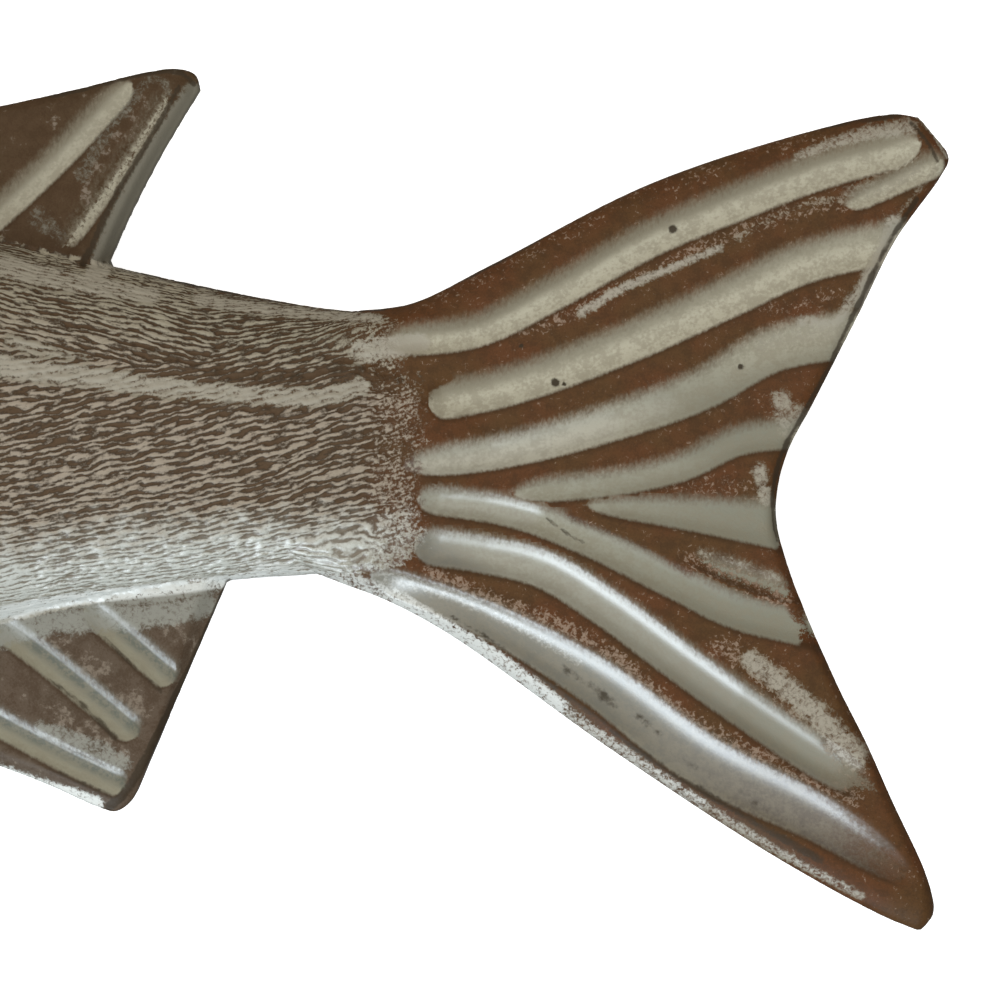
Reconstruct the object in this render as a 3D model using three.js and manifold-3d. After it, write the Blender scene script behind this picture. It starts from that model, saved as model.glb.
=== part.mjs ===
// A cast fish figurine lying on its far flank.
// Millimetres. +X runs to the tail, +Y to the back, +Z out of the upper flank.
// The shape is drawn from the tail wrist, the slimmest place before the tail fin, and moved at the end
// so that the origin is under the middle of the fish, in the plane it lies on.

import * as THREE from 'three';
import { LoftGeometry } from 'three/addons/geometries/LoftGeometry.js';
import { mergeVertices } from 'three/addons/utils/BufferGeometryUtils.js';
import Module from 'manifold-3d';

const wasm = await Module();
wasm.setup();

// Finish
const castColor = 0x6b4a34;
const castRoughness = 0.45;

// Body stations from the snout to inside the tail root: x, back line, belly line, half thickness
const bodyStations = [
  [-222, -0.8, -3.2, 1.2],
  [-219.5, 3.8, -7.2, 5],
  [-213, 9.2, -11.6, 8.8],
  [-202, 16.6, -17.4, 12.8],
  [-186, 26, -25.4, 16.4],
  [-166, 35.6, -34, 19.4],
  [-142, 41.8, -40.4, 21.4],
  [-116, 42.2, -41, 22],
  [-90, 37.4, -35.4, 20.4],
  [-66, 31, -27.6, 16.8],
  [-42, 25.4, -21.4, 12.2],
  [-21, 20.7, -17.7, 8.8],
  [-8, 18.3, -16.6, 6.8],
  [2, 16.8, -15.8, 5.1],
  [12, 12.2, -12.6, 3.7],
  [20, 5.5, -7.5, 2.2],
];
const bodyRings = 30;
const bodySides = 24;
const leastHalf = 0.6;

// Depth of the flat spot that the fish lies on, cut into the far flank
const flatDepth = 1.5;

// Tail fin: its two leading edges from the root out, and the forked margin from the upper tip down
const tailUpperEdge = [
  [-12, 15.6], [-3, 17.5], [5, 18.5], [15.5, 23.6], [36, 34.1], [57, 41], [67.5, 43.2], [70.9, 42.8],
];
const tailLowerEdge = [
  [-12, -14.8], [-4, -17.6], [2, -19.9], [10.1, -24.3], [31, -39.2], [51.7, -52.8], [66.3, -60.9], [71.2, -62.9],
];
const tailMargin = [
  [70.9, 42.8], [72.8, 40.5], [74.9, 37.5], [73.9, 35.2], [68, 26.9], [62.8, 16.5], [57.4, 6], [53.6, -1.5],
  [52.4, -8.2], [53.7, -14.7], [60.1, -30.3], [64, -38.1], [67.5, -45.9], [72.2, -56.3], [72.9, -60.5],
  [71.2, -62.9],
];
const tailThickness = [[-12, 5], [0, 4.3], [15, 3.1], [45, 2.4], [75, 1.8]];
const tailRows = [0, 0.12, 0.22, 0.32, 0.42, 0.52, 0.64, 0.76, 0.88, 0.975, 1];
const tailEdgeColumns = [0.012, 0.03, 0.97, 0.988];
const tailLength = 64.4;
const leadingRoll = 4;
const marginRoll = 1.6;
const rollCut = 0.88;

// Flutes of the tail, from the upper lobe down: centre line from the root out, half width at both ends and
// what it gains between them, depth, and the lengths over which the gouge goes in and comes out
const tailFlutes = [
  {
    line: [[2, 13.4], [13.4, 14.8], [23.4, 19.6], [36.1, 26.7], [49.1, 32.2], [58, 35.6], [71, 39.3]],
    wide: [1.9, 2.4], deep: 0.9, goIn: 5, goOut: 4, far: true,
  },
  { line: [[61.5, 31.2], [72.6, 36.4]], wide: [1.3, 1.6], deep: 0.6, goIn: 3, goOut: 0 },
  {
    line: [[7.4, 5.4], [18.5, 7.9], [33.4, 13.4], [46.2, 19.2], [56, 23.7], [68, 26.6]],
    wide: [2.3, 2.6], deep: 0.95, goIn: 2.4, goOut: 0, far: true,
  },
  {
    line: [[4.2, -2.6], [18.5, -0.4], [33.4, 3.8], [43, 7.4], [52, 12.4], [62.5, 14.6]],
    wide: [1.8, 2.9], deep: 0.9, goIn: 8, goOut: 0, far: true,
  },
  {
    line: [[18.5, -6.1], [33.4, -4.4], [41, -2.4], [47.5, 0.7], [56.5, 1.8]],
    wide: [1.4, 1.9], deep: 0.7, goIn: 6, goOut: 0,
  },
  { line: [[28, -7.6], [40, -8.6], [54, -10.4]], wide: [1, 3.1], deep: 0.8, goIn: 7, goOut: 0 },
  {
    line: [[6, -6.7], [18.5, -8.6], [28.3, -12.2], [40, -17.9], [47, -21.2], [58, -23.8]],
    wide: [1.7, 2.4], deep: 0.9, goIn: 3, goOut: 0, far: true,
  },
  { line: [[41, -14], [54, -18.8]], wide: [1.2, 1.6], deep: 0.5, goIn: 5, goOut: 0 },
  {
    line: [[5.6, -12.7], [13.5, -13.8], [22, -15.8], [30, -20.6], [42.8, -30], [58.8, -40.8], [66, -44.8]],
    wide: [2.3, 2.6], deep: 1, goIn: 3, goOut: 9, far: true,
  },
  {
    line: [[0, -16.6], [13.4, -21.7], [28.3, -29.9], [42.8, -40.6], [58.8, -48.7], [70.5, -56.4]],
    wide: [1.6, 2, 1.5], deep: 1.1, goIn: 4, goOut: 9, far: true,
  },
];

// Facets across a flute and the distance between its stations, on the near flank and on the plainer far one
const nearCut = { facets: 4, stride: 9 };
const farCut = { facets: 3, stride: 11 };
const cutClearance = 0.7;
const goInStation = 0.3;
const swellSkew = 1.3;

// Chip in the blunt upper tip of the tail
const tipChip = { at: [74.2, 39.3], turn: -0.96, size: [2.2, 1.5, 8] };

// Dorsal fin rays from front to rear: root x, tip x, tip y
const dorsalRays = [
  [-167, -167.5, 33], [-161, -156, 50], [-146, -137, 58.5], [-128, -116, 57], [-108, -94, 49.2], [-90, -73, 43],
  [-72, -55, 43.2], [-56, -38.5, 46.4], [-46, -30, 48.5], [-40, -25.2, 49.1], [-37.2, -22.9, 48.3],
  [-35.6, -22.3, 46.3],
];
const dorsal = {
  buried: 4, bow: 0.95, spines: 9, spinyPart: 0.52, spinyFade: 0.08, scallop: 2.2, softColumns: 9, bevelFrom: 0.91,
  root: 2.5, tip: 1.3, web: 0.75, rim: 0.7, tipY: 47, rootY: 22, rows: [0, 0.09, 0.35, 1],
};
const dorsalFlutes = [
  { line: [[-78, 37], [-67, 42]], wide: [1.4, 1.6], deep: 0.5, goIn: 3, goOut: 0, far: true },
  { line: [[-64, 33.6], [-53, 41.6]], wide: [1.4, 1.5], deep: 0.6, goIn: 3, goOut: 3, far: true },
  { line: [[-51, 27.5], [-41.6, 36.2], [-31.2, 47.2]], wide: [1.7, 1.6], deep: 0.6, goIn: 3, goOut: 3, far: true },
  { line: [[-40, 25.4], [-33.4, 34.6], [-25.9, 46.4]], wide: [1.2, 1], deep: 0.55, goIn: 4, goOut: 3, far: true },
];

// Anal fin rays from front to rear: root x, tip x, tip y
const analRays = [
  [-80, -78.5, -30], [-70, -64, -35.6], [-58, -51, -40.4], [-46, -41.9, -43.9], [-36, -35.4, -46.8],
  [-30, -33.2, -47.3], [-23, -31.2, -45.9], [-17, -28.8, -40.7],
];
const anal = {
  buried: 4, columns: 14, bevel: 0.1, root: 2.6, tip: 1.5, rim: 0.7, tipY: -46, rootY: -19, rows: [0, 0.5, 0.9, 1],
};
const analFlutes = [
  { line: [[-37, -20.5], [-31.6, -25.2], [-25.6, -30.4]], wide: [1.7, 1.8], deep: 0.7, goIn: 3, goOut: 1.5, far: true },
  {
    line: [[-49, -22.5], [-41.9, -27.8], [-37.3, -31.6], [-30.4, -37.4]],
    wide: [1.7, 1.8], deep: 0.7, goIn: 3, goOut: 1.5, far: true,
  },
  {
    line: [[-53, -33.3], [-41.9, -39.3], [-37.3, -41.6], [-32, -44.1]],
    wide: [1.6, 1.7], deep: 0.7, goIn: 3, goOut: 1.5, far: true,
  },
  { line: [[-69, -29.3], [-57.5, -36]], wide: [1.2, 1.3], deep: 0.6, goIn: 3, goOut: 3, far: true },
];

// Pelvic fins, one on either side of the belly, turned back and leaning out
const pelvic = {
  root: [-140, -35, 7], length: 36, width: 14, half: 1.7, sweep: -0.62, lean: 0.2, roundness: 2.6, blunt: 0.12,
  narrowing: 0.35, columns: 6, rows: 4,
};

// Gill cover and pectoral fin, low forms on both flanks, with how far they stand out from front to rear
const gillOutline = [
  [-196, 6], [-182, 20], [-168, 24], [-158, 14], [-154, 1], [-157, -12], [-168, -24], [-182, -20],
];
const gillRise = [[-196, 0], [-184, 0.4], [-154, 1.7]];
const pectoralOutline = [
  [-160, -6], [-146, -3], [-126, -7], [-108, -15], [-117, -20], [-136, -22], [-152, -20], [-160, -17],
];
const pectoralRise = [[-160, 1], [-140, 1.8], [-104, 2.6]];
const pectoralFlutes = { count: 4, rootX: -151, rootY: [-6, -18], tipX: [-112, -120], tipY: [-11.5, -20.5] };

// Grooves of the gill opening and the closed mouth, and the eyes
const gillGroove = {
  line: [[-178, 22.5], [-166, 22], [-157, 13], [-153, 1], [-156, -12.5], [-167, -24], [-179, -22]],
  width: 1.8, deep: 1,
};
const mouthGroove = { line: [[-224, -2.2], [-213, -3.4], [-202, -6.2], [-192, -11.2]], width: 1.7, deep: 1.6 };
const eye = { x: -192.5, y: 10.8, radius: 4.8, sunk: 2.2, ring: 5.6, ringTube: 0.8 };

// Length of a cutter that reaches through both flanks
const through = 80;

// Helpers for numbers and curves

const { lerp: mix, smoothstep: smooth, clamp } = THREE.MathUtils;

// Shares of the way from 0 to 1, in equal steps
function steps(count) {
  return [...Array(count + 1).keys()].map((i) => i / count);
}

function curveThrough(points) {
  return new THREE.CatmullRomCurve3(points.map(([x, y]) => new THREE.Vector3(x, y, 0)));
}

// Value of a table of [x, value] rows, straight between its rows
function tableAt(rows, x) {
  const next = rows.findIndex(([edge]) => x < edge);
  if (next === 0) return rows[0][1];
  if (next < 0) return rows[rows.length - 1][1];
  const [x0, value0] = rows[next - 1];
  const [x1, value1] = rows[next];
  return mix(value0, value1, (x - x0) / (x1 - x0));
}

// Helpers for solids

function solidOf(geometry) {
  const bare = new THREE.BufferGeometry().copy(geometry);
  bare.deleteAttribute('normal');
  bare.deleteAttribute('uv');
  const merged = mergeVertices(bare);
  const mesh = new wasm.Mesh({
    numProp: 3,
    vertProperties: new Float32Array(merged.getAttribute('position').array),
    triVerts: new Uint32Array(merged.index.array),
  });
  return new wasm.Manifold(mesh);
}

function geometryOf(solid) {
  const mesh = solid.getMesh();
  const geometry = new THREE.BufferGeometry();
  geometry.setAttribute('position', new THREE.BufferAttribute(mesh.vertProperties, 3));
  geometry.setIndex(new THREE.BufferAttribute(mesh.triVerts, 1));
  geometry.computeVertexNormals();
  return geometry;
}

// The same shape on the other flank
function mirrored(geometry) {
  const other = new THREE.BufferGeometry().copy(geometry).scale(1, 1, -1);
  const index = other.index;
  for (let i = 0; i < index.count; i += 3) {
    const first = index.getX(i);
    index.setX(i, index.getX(i + 2));
    index.setX(i + 2, first);
  }
  return other;
}

function onBothFlanks(geometry) {
  return solidOf(geometry).add(solidOf(mirrored(geometry)));
}

// A straight column through both flanks, over a closed outline
function columnOver(outline) {
  const shape = new THREE.Shape().setFromPoints(outline);
  const column = new THREE.ExtrudeGeometry(shape, { depth: through, bevelEnabled: false });
  return solidOf(column.translate(0, 0, -through / 2));
}

// Body

// The section at a share of the way along the stations, on a smooth curve through them
function stationAt(t) {
  const last = bodyStations.length - 1;
  const index = Math.min(Math.floor(t * last), last - 1);
  const weight = t * last - index;
  const [before, from, to, after] = [-1, 0, 1, 2].map((k) => bodyStations[clamp(index + k, 0, last)]);
  const square = weight * weight;
  const cube = square * weight;
  const [x, back, belly, half] = from.map((value, k) => {
    const slopeFrom = (to[k] - before[k]) / 2;
    const slopeTo = (after[k] - value) / 2;
    const between = value * (2 * cube - 3 * square + 1) + to[k] * (3 * square - 2 * cube);
    return between + slopeFrom * (cube - 2 * square + weight) + slopeTo * (cube - square);
  });
  return { x, back, belly, half };
}

// The section at a given x, found by halving
function sectionAt(x) {
  let low = 0;
  let high = 1;
  for (let i = 0; i < 30; i += 1) {
    const middle = (low + high) / 2;
    if (stationAt(middle).x < x) low = middle;
    else high = middle;
  }
  return stationAt(low);
}

// Height of the body's flank over its middle plane
function bodyHeight(x, y) {
  const { back, belly, half } = sectionAt(x);
  const across = (2 * y - back - belly) / (back - belly);
  return Math.abs(across) < 1 ? half * Math.sqrt(1 - across * across) : 0;
}

// The body as a loft of oval sections, swollen or shrunk by rise(x)
function bodySolid(rise) {
  const rings = steps(bodyRings).map((t) => {
    const { x, back, belly, half } = stationAt(t);
    const reach = Math.max(leastHalf, half + rise(x));
    return steps(bodySides).slice(1).map((turn) => {
      const angle = turn * Math.PI * 2;
      return new THREE.Vector3(x, mix(belly, back, 0.5 + 0.5 * Math.cos(angle)), reach * Math.sin(angle));
    });
  });
  return solidOf(new LoftGeometry(rings, { capStart: true, capEnd: true }));
}

// Fins

// A fin as a closed skin: a near face, a far face and the rim between them.
// u runs to the rear and v downwards, and halfAt gives half the thickness
function finSkin(planAt, halfAt, us, vs) {
  const positions = [];
  const indices = [];
  const sheet = us.length * vs.length;
  for (const side of [1, -1]) {
    for (const u of us) {
      for (const v of vs) {
        const { x, y } = planAt(u, v);
        positions.push(x, y, side * halfAt(u, v, x));
      }
    }
  }
  const at = (i, j) => i * vs.length + j;
  const lastRow = us.length - 1;
  const lastColumn = vs.length - 1;
  const face = (a, b, c, d) => indices.push(a, b, c, a, c, d);
  const rim = (a, b) => face(b, sheet + b, sheet + a, a);
  for (let i = 0; i < lastRow; i += 1) {
    for (let j = 0; j < lastColumn; j += 1) {
      const [a, b, c, d] = [at(i, j), at(i, j + 1), at(i + 1, j + 1), at(i + 1, j)];
      face(a, b, c, d);
      face(sheet + a, sheet + d, sheet + c, sheet + b);
    }
    rim(at(i, 0), at(i + 1, 0));
    rim(at(i + 1, lastColumn), at(i, lastColumn));
  }
  for (let j = 0; j < lastColumn; j += 1) {
    rim(at(0, j + 1), at(0, j));
    rim(at(lastRow, j), at(lastRow, j + 1));
  }
  const geometry = new THREE.BufferGeometry();
  geometry.setAttribute('position', new THREE.Float32BufferAttribute(positions, 3));
  geometry.setIndex(indices);
  return geometry;
}

// Part of the full thickness that is left at a distance from a rounded edge
function rolled(distance, roll) {
  const short = Math.max(0, 1 - distance / roll);
  return Math.sqrt(1 - rollCut * short * short);
}

function tailFin() {
  const upper = curveThrough(tailUpperEdge);
  const lower = curveThrough(tailLowerEdge);
  const marks = curveThrough(tailMargin).getPoints(tailMargin.length - 1);
  const top = marks[0];
  const bottom = marks[marks.length - 1];
  const shares = marks.map((mark) => (top.y - mark.y) / (top.y - bottom.y));
  const margin = shares.map((share, i) => [share, marks[i].x]);
  const planAt = (u, v) => {
    const a = upper.getPointAt(u);
    const b = lower.getPointAt(u);
    const fork = tableAt(margin, v) - mix(top.x, bottom.x, v);
    return { x: mix(a.x, b.x, v) + u * fork, y: mix(a.y, b.y, v) };
  };
  const halfAt = (u, v, x) => {
    const width = planAt(u, 0).y - planAt(u, 1).y;
    const leading = rolled(width * Math.min(v, 1 - v), leadingRoll);
    const trailing = rolled(tailLength * (1 - u), marginRoll);
    return tableAt(tailThickness, x) * Math.min(leading, trailing);
  };
  const columns = [...shares, ...tailEdgeColumns].sort((a, b) => a - b);
  return solidOf(finSkin(planAt, halfAt, tailRows, columns));
}

// Plan of a fin drawn by its rays, with the tips at v = 0 on the back and at v = 1 under the belly
function rayPlan(rays, rootLine, tipsAbove) {
  const roots = curveThrough(rays.map(([root]) => [root, rootLine(root)]));
  const tips = curveThrough(rays.map(([, x, y]) => [x, y]));
  return (u, v) => roots.getPoint(u).lerp(tips.getPoint(u), tipsAbove ? 1 - v : v);
}

function dorsalFin() {
  const plan = rayPlan(dorsalRays, (x) => sectionAt(x).back - dorsal.buried, true);
  const spiny = (u) => 1 - smooth(u, dorsal.spinyPart - dorsal.spinyFade, dorsal.spinyPart);
  const webAt = (u) => spiny(u) * (1 - Math.abs(Math.cos((Math.PI * dorsal.spines * u) / dorsal.spinyPart)));
  const planAt = (u, v) => {
    const point = plan(u, v);
    point.x -= dorsal.bow * 4 * v * (1 - v);
    return point.setY(point.y - dorsal.scallop * webAt(u) * (1 - v));
  };
  const halfAt = (u, v) => {
    const full = mix(mix(dorsal.tip, dorsal.root, v), dorsal.web + v, webAt(u));
    const edge = smooth(v, 0, dorsal.rows[1]) * (1 - smooth(u, dorsal.bevelFrom, 1));
    return mix(Math.min(dorsal.rim, full), full, edge);
  };
  const spinyColumns = steps(2 * dorsal.spines).map((share) => share * dorsal.spinyPart);
  const softColumns = steps(dorsal.softColumns).slice(1).map((share) => mix(dorsal.spinyPart, 1, share));
  const columns = [...spinyColumns, ...softColumns, dorsal.bevelFrom].sort((a, b) => a - b);
  return solidOf(finSkin(planAt, halfAt, columns, dorsal.rows));
}

function analFin() {
  const planAt = rayPlan(analRays, (x) => sectionAt(x).belly + anal.buried, false);
  const halfAt = (u, v) => {
    const tipEdge = 1 - smooth(v, 1 - anal.bevel, 1);
    const sideEdges = smooth(u, 0, anal.bevel) * (1 - smooth(u, 1 - anal.bevel, 1));
    return mix(anal.rim, mix(anal.root, anal.tip, v), tipEdge * sideEdges);
  };
  return solidOf(finSkin(planAt, halfAt, steps(anal.columns), anal.rows));
}

function pelvicFins() {
  const planAt = (u, v) => {
    const oval = Math.sqrt(1 - Math.abs(2 * u - 1) ** pelvic.roundness);
    const width = pelvic.width * Math.max(pelvic.blunt, oval) * (1 - pelvic.narrowing * u);
    return { x: u * pelvic.length, y: (0.5 - v) * width };
  };
  const halfAt = (u, v) => pelvic.half * mix(0.4, 1, Math.sin(Math.PI * v)) * (1 - pelvic.narrowing * u);
  const skin = finSkin(planAt, halfAt, steps(pelvic.columns), steps(pelvic.rows));
  skin.rotateZ(pelvic.sweep);
  skin.rotateX(pelvic.lean);
  return onBothFlanks(skin.translate(...pelvic.root));
}

// Flutes

// A gouge cut: a round tool drawn along a line over a surface, as the solid that it takes away
function gouge({ line, wide, deep, goIn, goOut }, heightAt, { facets, stride }) {
  const curve = curveThrough(line);
  const length = curve.getLength();
  const shares = steps(Math.max(2, Math.round(length / stride)));
  if (goIn > 0) shares.splice(1, 0, (goInStation * goIn) / length);
  const rings = shares.map((t) => {
    const centre = curve.getPointAt(t);
    const along = curve.getTangentAt(t);
    const side = new THREE.Vector3(-along.y, along.x, 0);
    const half = mix(wide[0], wide[1], t) + (wide[2] ?? 0) * Math.sin(Math.PI * t ** swellSkew);
    const radius = (half * half + deep * deep) / (2 * deep);
    const entry = goIn > 0 ? Math.sin((Math.PI / 2) * Math.min(1, (t * length) / goIn)) : 1;
    const exit = goOut > 0 ? Math.sin((Math.PI / 2) * Math.min(1, ((1 - t) * length) / goOut)) : 1;
    const depth = deep * Math.min(entry, exit);
    const middle = heightAt(centre.x, centre.y) - depth + radius;
    const spread = Math.acos(Math.max(0, (radius - depth - cutClearance) / radius));
    return steps(facets).map((share) => {
      const angle = mix(-spread, spread, share);
      const point = centre.clone().addScaledVector(side, radius * Math.sin(angle));
      return point.setZ(middle - radius * Math.cos(angle));
    });
  });
  return new LoftGeometry(rings, { capStart: true, capEnd: true });
}

function carved(solid, flutes, heightAt) {
  return flutes.reduce((left, flute) => {
    const near = left.subtract(solidOf(gouge(flute, heightAt, nearCut)));
    return flute.far ? near.subtract(solidOf(mirrored(gouge(flute, heightAt, farCut)))) : near;
  }, solid);
}

// Height of a fin that tapers from its root to its tip
function finHeight({ root, tip, rootY, tipY }) {
  return (x, y) => mix(tip, root, clamp((y - tipY) / (rootY - tipY), 0, 1));
}

// Head and flanks

// A low form that stands out from both flanks, inside an outline
function raised(outline, rise) {
  const closed = curveThrough([...outline, outline[0]]).getPoints(outline.length * 2).slice(1);
  return bodySolid((x) => tableAt(rise, x)).intersect(columnOver(closed));
}

// A groove of even depth in both flanks, drawn along a line and narrower at its ends
function incised({ line, width, deep }) {
  const curve = curveThrough(line);
  const edge = (sign) => steps(line.length * 2).map((t) => {
    const along = curve.getTangentAt(t);
    const half = (sign * width * mix(0.25, 1, Math.sin(Math.PI * t))) / 2;
    return curve.getPointAt(t).add(new THREE.Vector3(-along.y * half, along.x * half, 0));
  });
  return columnOver([...edge(1), ...edge(-1).reverse()]).subtract(bodySolid(() => -deep));
}

function pectoralFins() {
  const { count, rootX, rootY, tipX, tipY } = pectoralFlutes;
  const flutes = steps(count - 1).map((share) => ({
    line: [[rootX, mix(...rootY, share)], [mix(...tipX, share), mix(...tipY, share)]],
    wide: [1, 1.7], deep: 0.7, goIn: 4, goOut: 0,
  }));
  const heightAt = (x, y) => {
    const { half } = sectionAt(x);
    return (bodyHeight(x, y) * (half + tableAt(pectoralRise, x))) / half;
  };
  return carved(raised(pectoralOutline, pectoralRise), flutes, heightAt);
}

// A form on either side of the head, set square to the flank where the eye is
function atEyes(geometry, sunk) {
  const slopeX = (bodyHeight(eye.x + 1, eye.y) - bodyHeight(eye.x - 1, eye.y)) / 2;
  const slopeY = (bodyHeight(eye.x, eye.y + 1) - bodyHeight(eye.x, eye.y - 1)) / 2;
  const outward = new THREE.Vector3(-slopeX, -slopeY, 1).normalize();
  const place = new THREE.Vector3(eye.x, eye.y, bodyHeight(eye.x, eye.y)).addScaledVector(outward, -sunk);
  geometry.applyQuaternion(new THREE.Quaternion().setFromUnitVectors(new THREE.Vector3(0, 0, 1), outward));
  return onBothFlanks(geometry.translate(place.x, place.y, place.z));
}

function fishSolid() {
  const skinHeight = (x, y) => Math.max(bodyHeight(x, y), tableAt(tailThickness, x));
  return carved(bodySolid(() => 0).add(tailFin()), tailFlutes, skinHeight)
    .add(carved(dorsalFin(), dorsalFlutes, finHeight(dorsal)))
    .add(carved(analFin(), analFlutes, finHeight(anal)))
    .add(pelvicFins())
    .add(raised(gillOutline, gillRise))
    .add(pectoralFins())
    .subtract(incised(gillGroove))
    .subtract(incised(mouthGroove))
    .subtract(atEyes(new THREE.TorusGeometry(eye.ring, eye.ringTube, 5, 14), 0))
    .add(atEyes(new THREE.SphereGeometry(eye.radius, 12, 8).rotateX(Math.PI / 2), eye.sunk));
}

// What the flat spot and the chip take away
function missing() {
  const deepest = Math.max(...bodyStations.map(([, , , half]) => half));
  const below = new THREE.BoxGeometry(400, 200, through).translate(-70, 0, -deepest + flatDepth - through / 2);
  const chip = new THREE.BoxGeometry(...tipChip.size).rotateZ(tipChip.turn).translate(...tipChip.at, 0);
  return solidOf(below).add(solidOf(chip));
}

const shape = geometryOf(fishSolid().subtract(missing()));
shape.computeBoundingBox();
const { min, max } = shape.boundingBox;
shape.translate(-(min.x + max.x) / 2, -(min.y + max.y) / 2, -min.z);

const fish = new THREE.Mesh(shape, new THREE.MeshStandardMaterial({ color: castColor, roughness: castRoughness }));
fish.name = 'fish';

const part = new THREE.Group();
part.add(fish);

export default part;
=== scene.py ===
import math

import bpy
import numpy as np
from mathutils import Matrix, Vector


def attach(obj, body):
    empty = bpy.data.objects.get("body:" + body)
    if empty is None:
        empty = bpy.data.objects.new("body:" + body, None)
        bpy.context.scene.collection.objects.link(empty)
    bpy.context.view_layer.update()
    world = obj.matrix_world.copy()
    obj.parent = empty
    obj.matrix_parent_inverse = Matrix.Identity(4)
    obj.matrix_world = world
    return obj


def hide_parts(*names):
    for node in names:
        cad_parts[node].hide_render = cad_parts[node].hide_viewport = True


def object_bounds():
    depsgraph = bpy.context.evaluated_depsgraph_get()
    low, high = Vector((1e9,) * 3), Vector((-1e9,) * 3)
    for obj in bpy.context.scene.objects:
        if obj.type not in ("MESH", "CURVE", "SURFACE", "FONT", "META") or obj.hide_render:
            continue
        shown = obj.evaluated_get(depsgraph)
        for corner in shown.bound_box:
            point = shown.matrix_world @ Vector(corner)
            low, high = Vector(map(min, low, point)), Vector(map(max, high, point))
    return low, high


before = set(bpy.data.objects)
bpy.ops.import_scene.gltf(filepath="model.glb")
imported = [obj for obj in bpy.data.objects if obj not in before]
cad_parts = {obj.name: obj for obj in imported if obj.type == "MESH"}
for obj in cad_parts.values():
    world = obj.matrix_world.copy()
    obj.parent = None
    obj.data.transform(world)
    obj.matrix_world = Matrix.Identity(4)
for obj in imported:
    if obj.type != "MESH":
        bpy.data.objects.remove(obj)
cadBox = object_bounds()
print("frame loaded")

# Everything on the fish is in millimetres from its tail wrist, the slimmest place before the tail fin: x to the
# tail, y to the back, z out of the upper flank. The wrist's place comes from the frame.
mm = 0.001
snoutX = -222.0
backTop = 58.64
lyingFlank = -20.5
wrist = np.array([
    cadBox[0].x - snoutX * mm,
    cadBox[1].y - backTop * mm,
    cadBox[0].z - lyingFlank * mm,
])


# Small helpers for numbers, lines and tables
def smooth(value, low, high):  # 0 at low and 1 at high
    share = np.clip((value - low) / (high - low), 0, 1)
    return share * share * (3 - 2 * share)


def mix(a, b, share):
    return a + (b - a) * share


def table(rows, x):
    columns = np.array(rows, float).T
    return np.interp(x, columns[0], columns[1])


def hermite(start, end, slopeIn, slopeOut, t):
    square, cube = t * t, t * t * t
    return (start * (2 * cube - 3 * square + 1) + slopeIn * (cube - 2 * square + t)
            + end * (3 * square - 2 * cube) + slopeOut * (cube - square))


def smoothLine(points, perSpan=16):  # a centripetal spline through the points
    knots = np.array(points, float)
    knots = np.vstack([2 * knots[0] - knots[1], knots, 2 * knots[-1] - knots[-2]])
    gaps = np.linalg.norm(np.diff(knots, axis=0), axis=1) ** 0.5
    t = np.linspace(0, 1, perSpan, endpoint=False)[:, None]
    spans = []
    for i in range(len(points) - 1):
        before, start, end, after = knots[i:i + 4]
        a, b, c = gaps[i:i + 3]
        slopeIn = ((start - before) / a - (end - before) / (a + b) + (end - start) / b) * b
        slopeOut = ((end - start) / b - (after - start) / (b + c) + (after - end) / c) * b
        spans.append(hermite(start, end, slopeIn, slopeOut, t))
    return np.vstack([*spans, knots[-2:-1]])


def byIndex(line, share):  # points of a line, as evenly spread as its given points
    places = np.linspace(0, 1, len(line))
    return np.stack([np.interp(share, places, column) for column in line.T], axis=-1)


def byLength(line, share):  # points of a line at shares of its length
    run = np.concatenate([[0], np.cumsum(np.linalg.norm(np.diff(line, axis=0), axis=1))])
    return np.stack([np.interp(share, run / run[-1], column) for column in line.T], axis=-1)


# Small helpers for objects
def pick(*objects):
    bpy.ops.object.select_all(action="DESELECT")
    for one in objects:
        one.select_set(True)
    bpy.context.view_layer.objects.active = objects[0]


def setMode(name):
    bpy.ops.object.mode_set(mode=name)


def readVectors(parts, what):
    flat = np.empty(len(parts) * 3)
    parts.foreach_get(what, flat)
    return flat.reshape(-1, 3)


def readPoints(thing):  # vertices in millimetres from the wrist
    return (readVectors(thing.data.vertices, "co") - wrist) / mm


def writePoints(thing, points):
    thing.data.vertices.foreach_set("co", (points * mm + wrist).ravel())
    thing.data.update()


def vertexNormals(thing):
    return readVectors(thing.data.vertex_normals, "vector")


def triangleCount(thing):
    return len(thing.data.loops) - 2 * len(thing.data.polygons)


def applyModifier(thing, kind, **settings):
    pick(thing)
    step = thing.modifiers.new("step", kind)
    for key, value in settings.items():
        setattr(step, key, value)
    bpy.ops.object.modifier_apply(modifier="step")


def keepNumber(thing, name, values):  # a number or a vector kept on every vertex, for the material
    kind, field = ("FLOAT", "value") if values.ndim == 1 else ("FLOAT_VECTOR", "vector")
    layer = thing.data.attributes.new(name, kind, "POINT")
    layer.data.foreach_set(field, values.astype(np.float32).ravel())


# Camera, straight above the tail, as the picture was taken
cameraSet = {
    "imageSide": 1000, "wristPixel": (372, 447), "mmPerPixel": 0.13, "distance": 400.0, "sensor": 36.0,
    "clip": (0.01, 20.0),
}


def makeCamera(s):
    side, (px, py), scale = s["imageSide"], s["wristPixel"], s["mmPerPixel"]
    middle = np.array([(side / 2 - px) * scale, (py - side / 2) * scale, s["distance"]])
    bpy.ops.object.camera_add(location=middle * mm + wrist, rotation=(0, 0, 0))
    camera = bpy.context.object
    camera.name = "camera"
    camera.data.sensor_width = s["sensor"]
    camera.data.lens = s["sensor"] * s["distance"] / (side * scale)
    camera.data.clip_start, camera.data.clip_end = s["clip"]
    bpy.context.scene.camera = camera


makeCamera(cameraSet)
print("camera placed")


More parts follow.
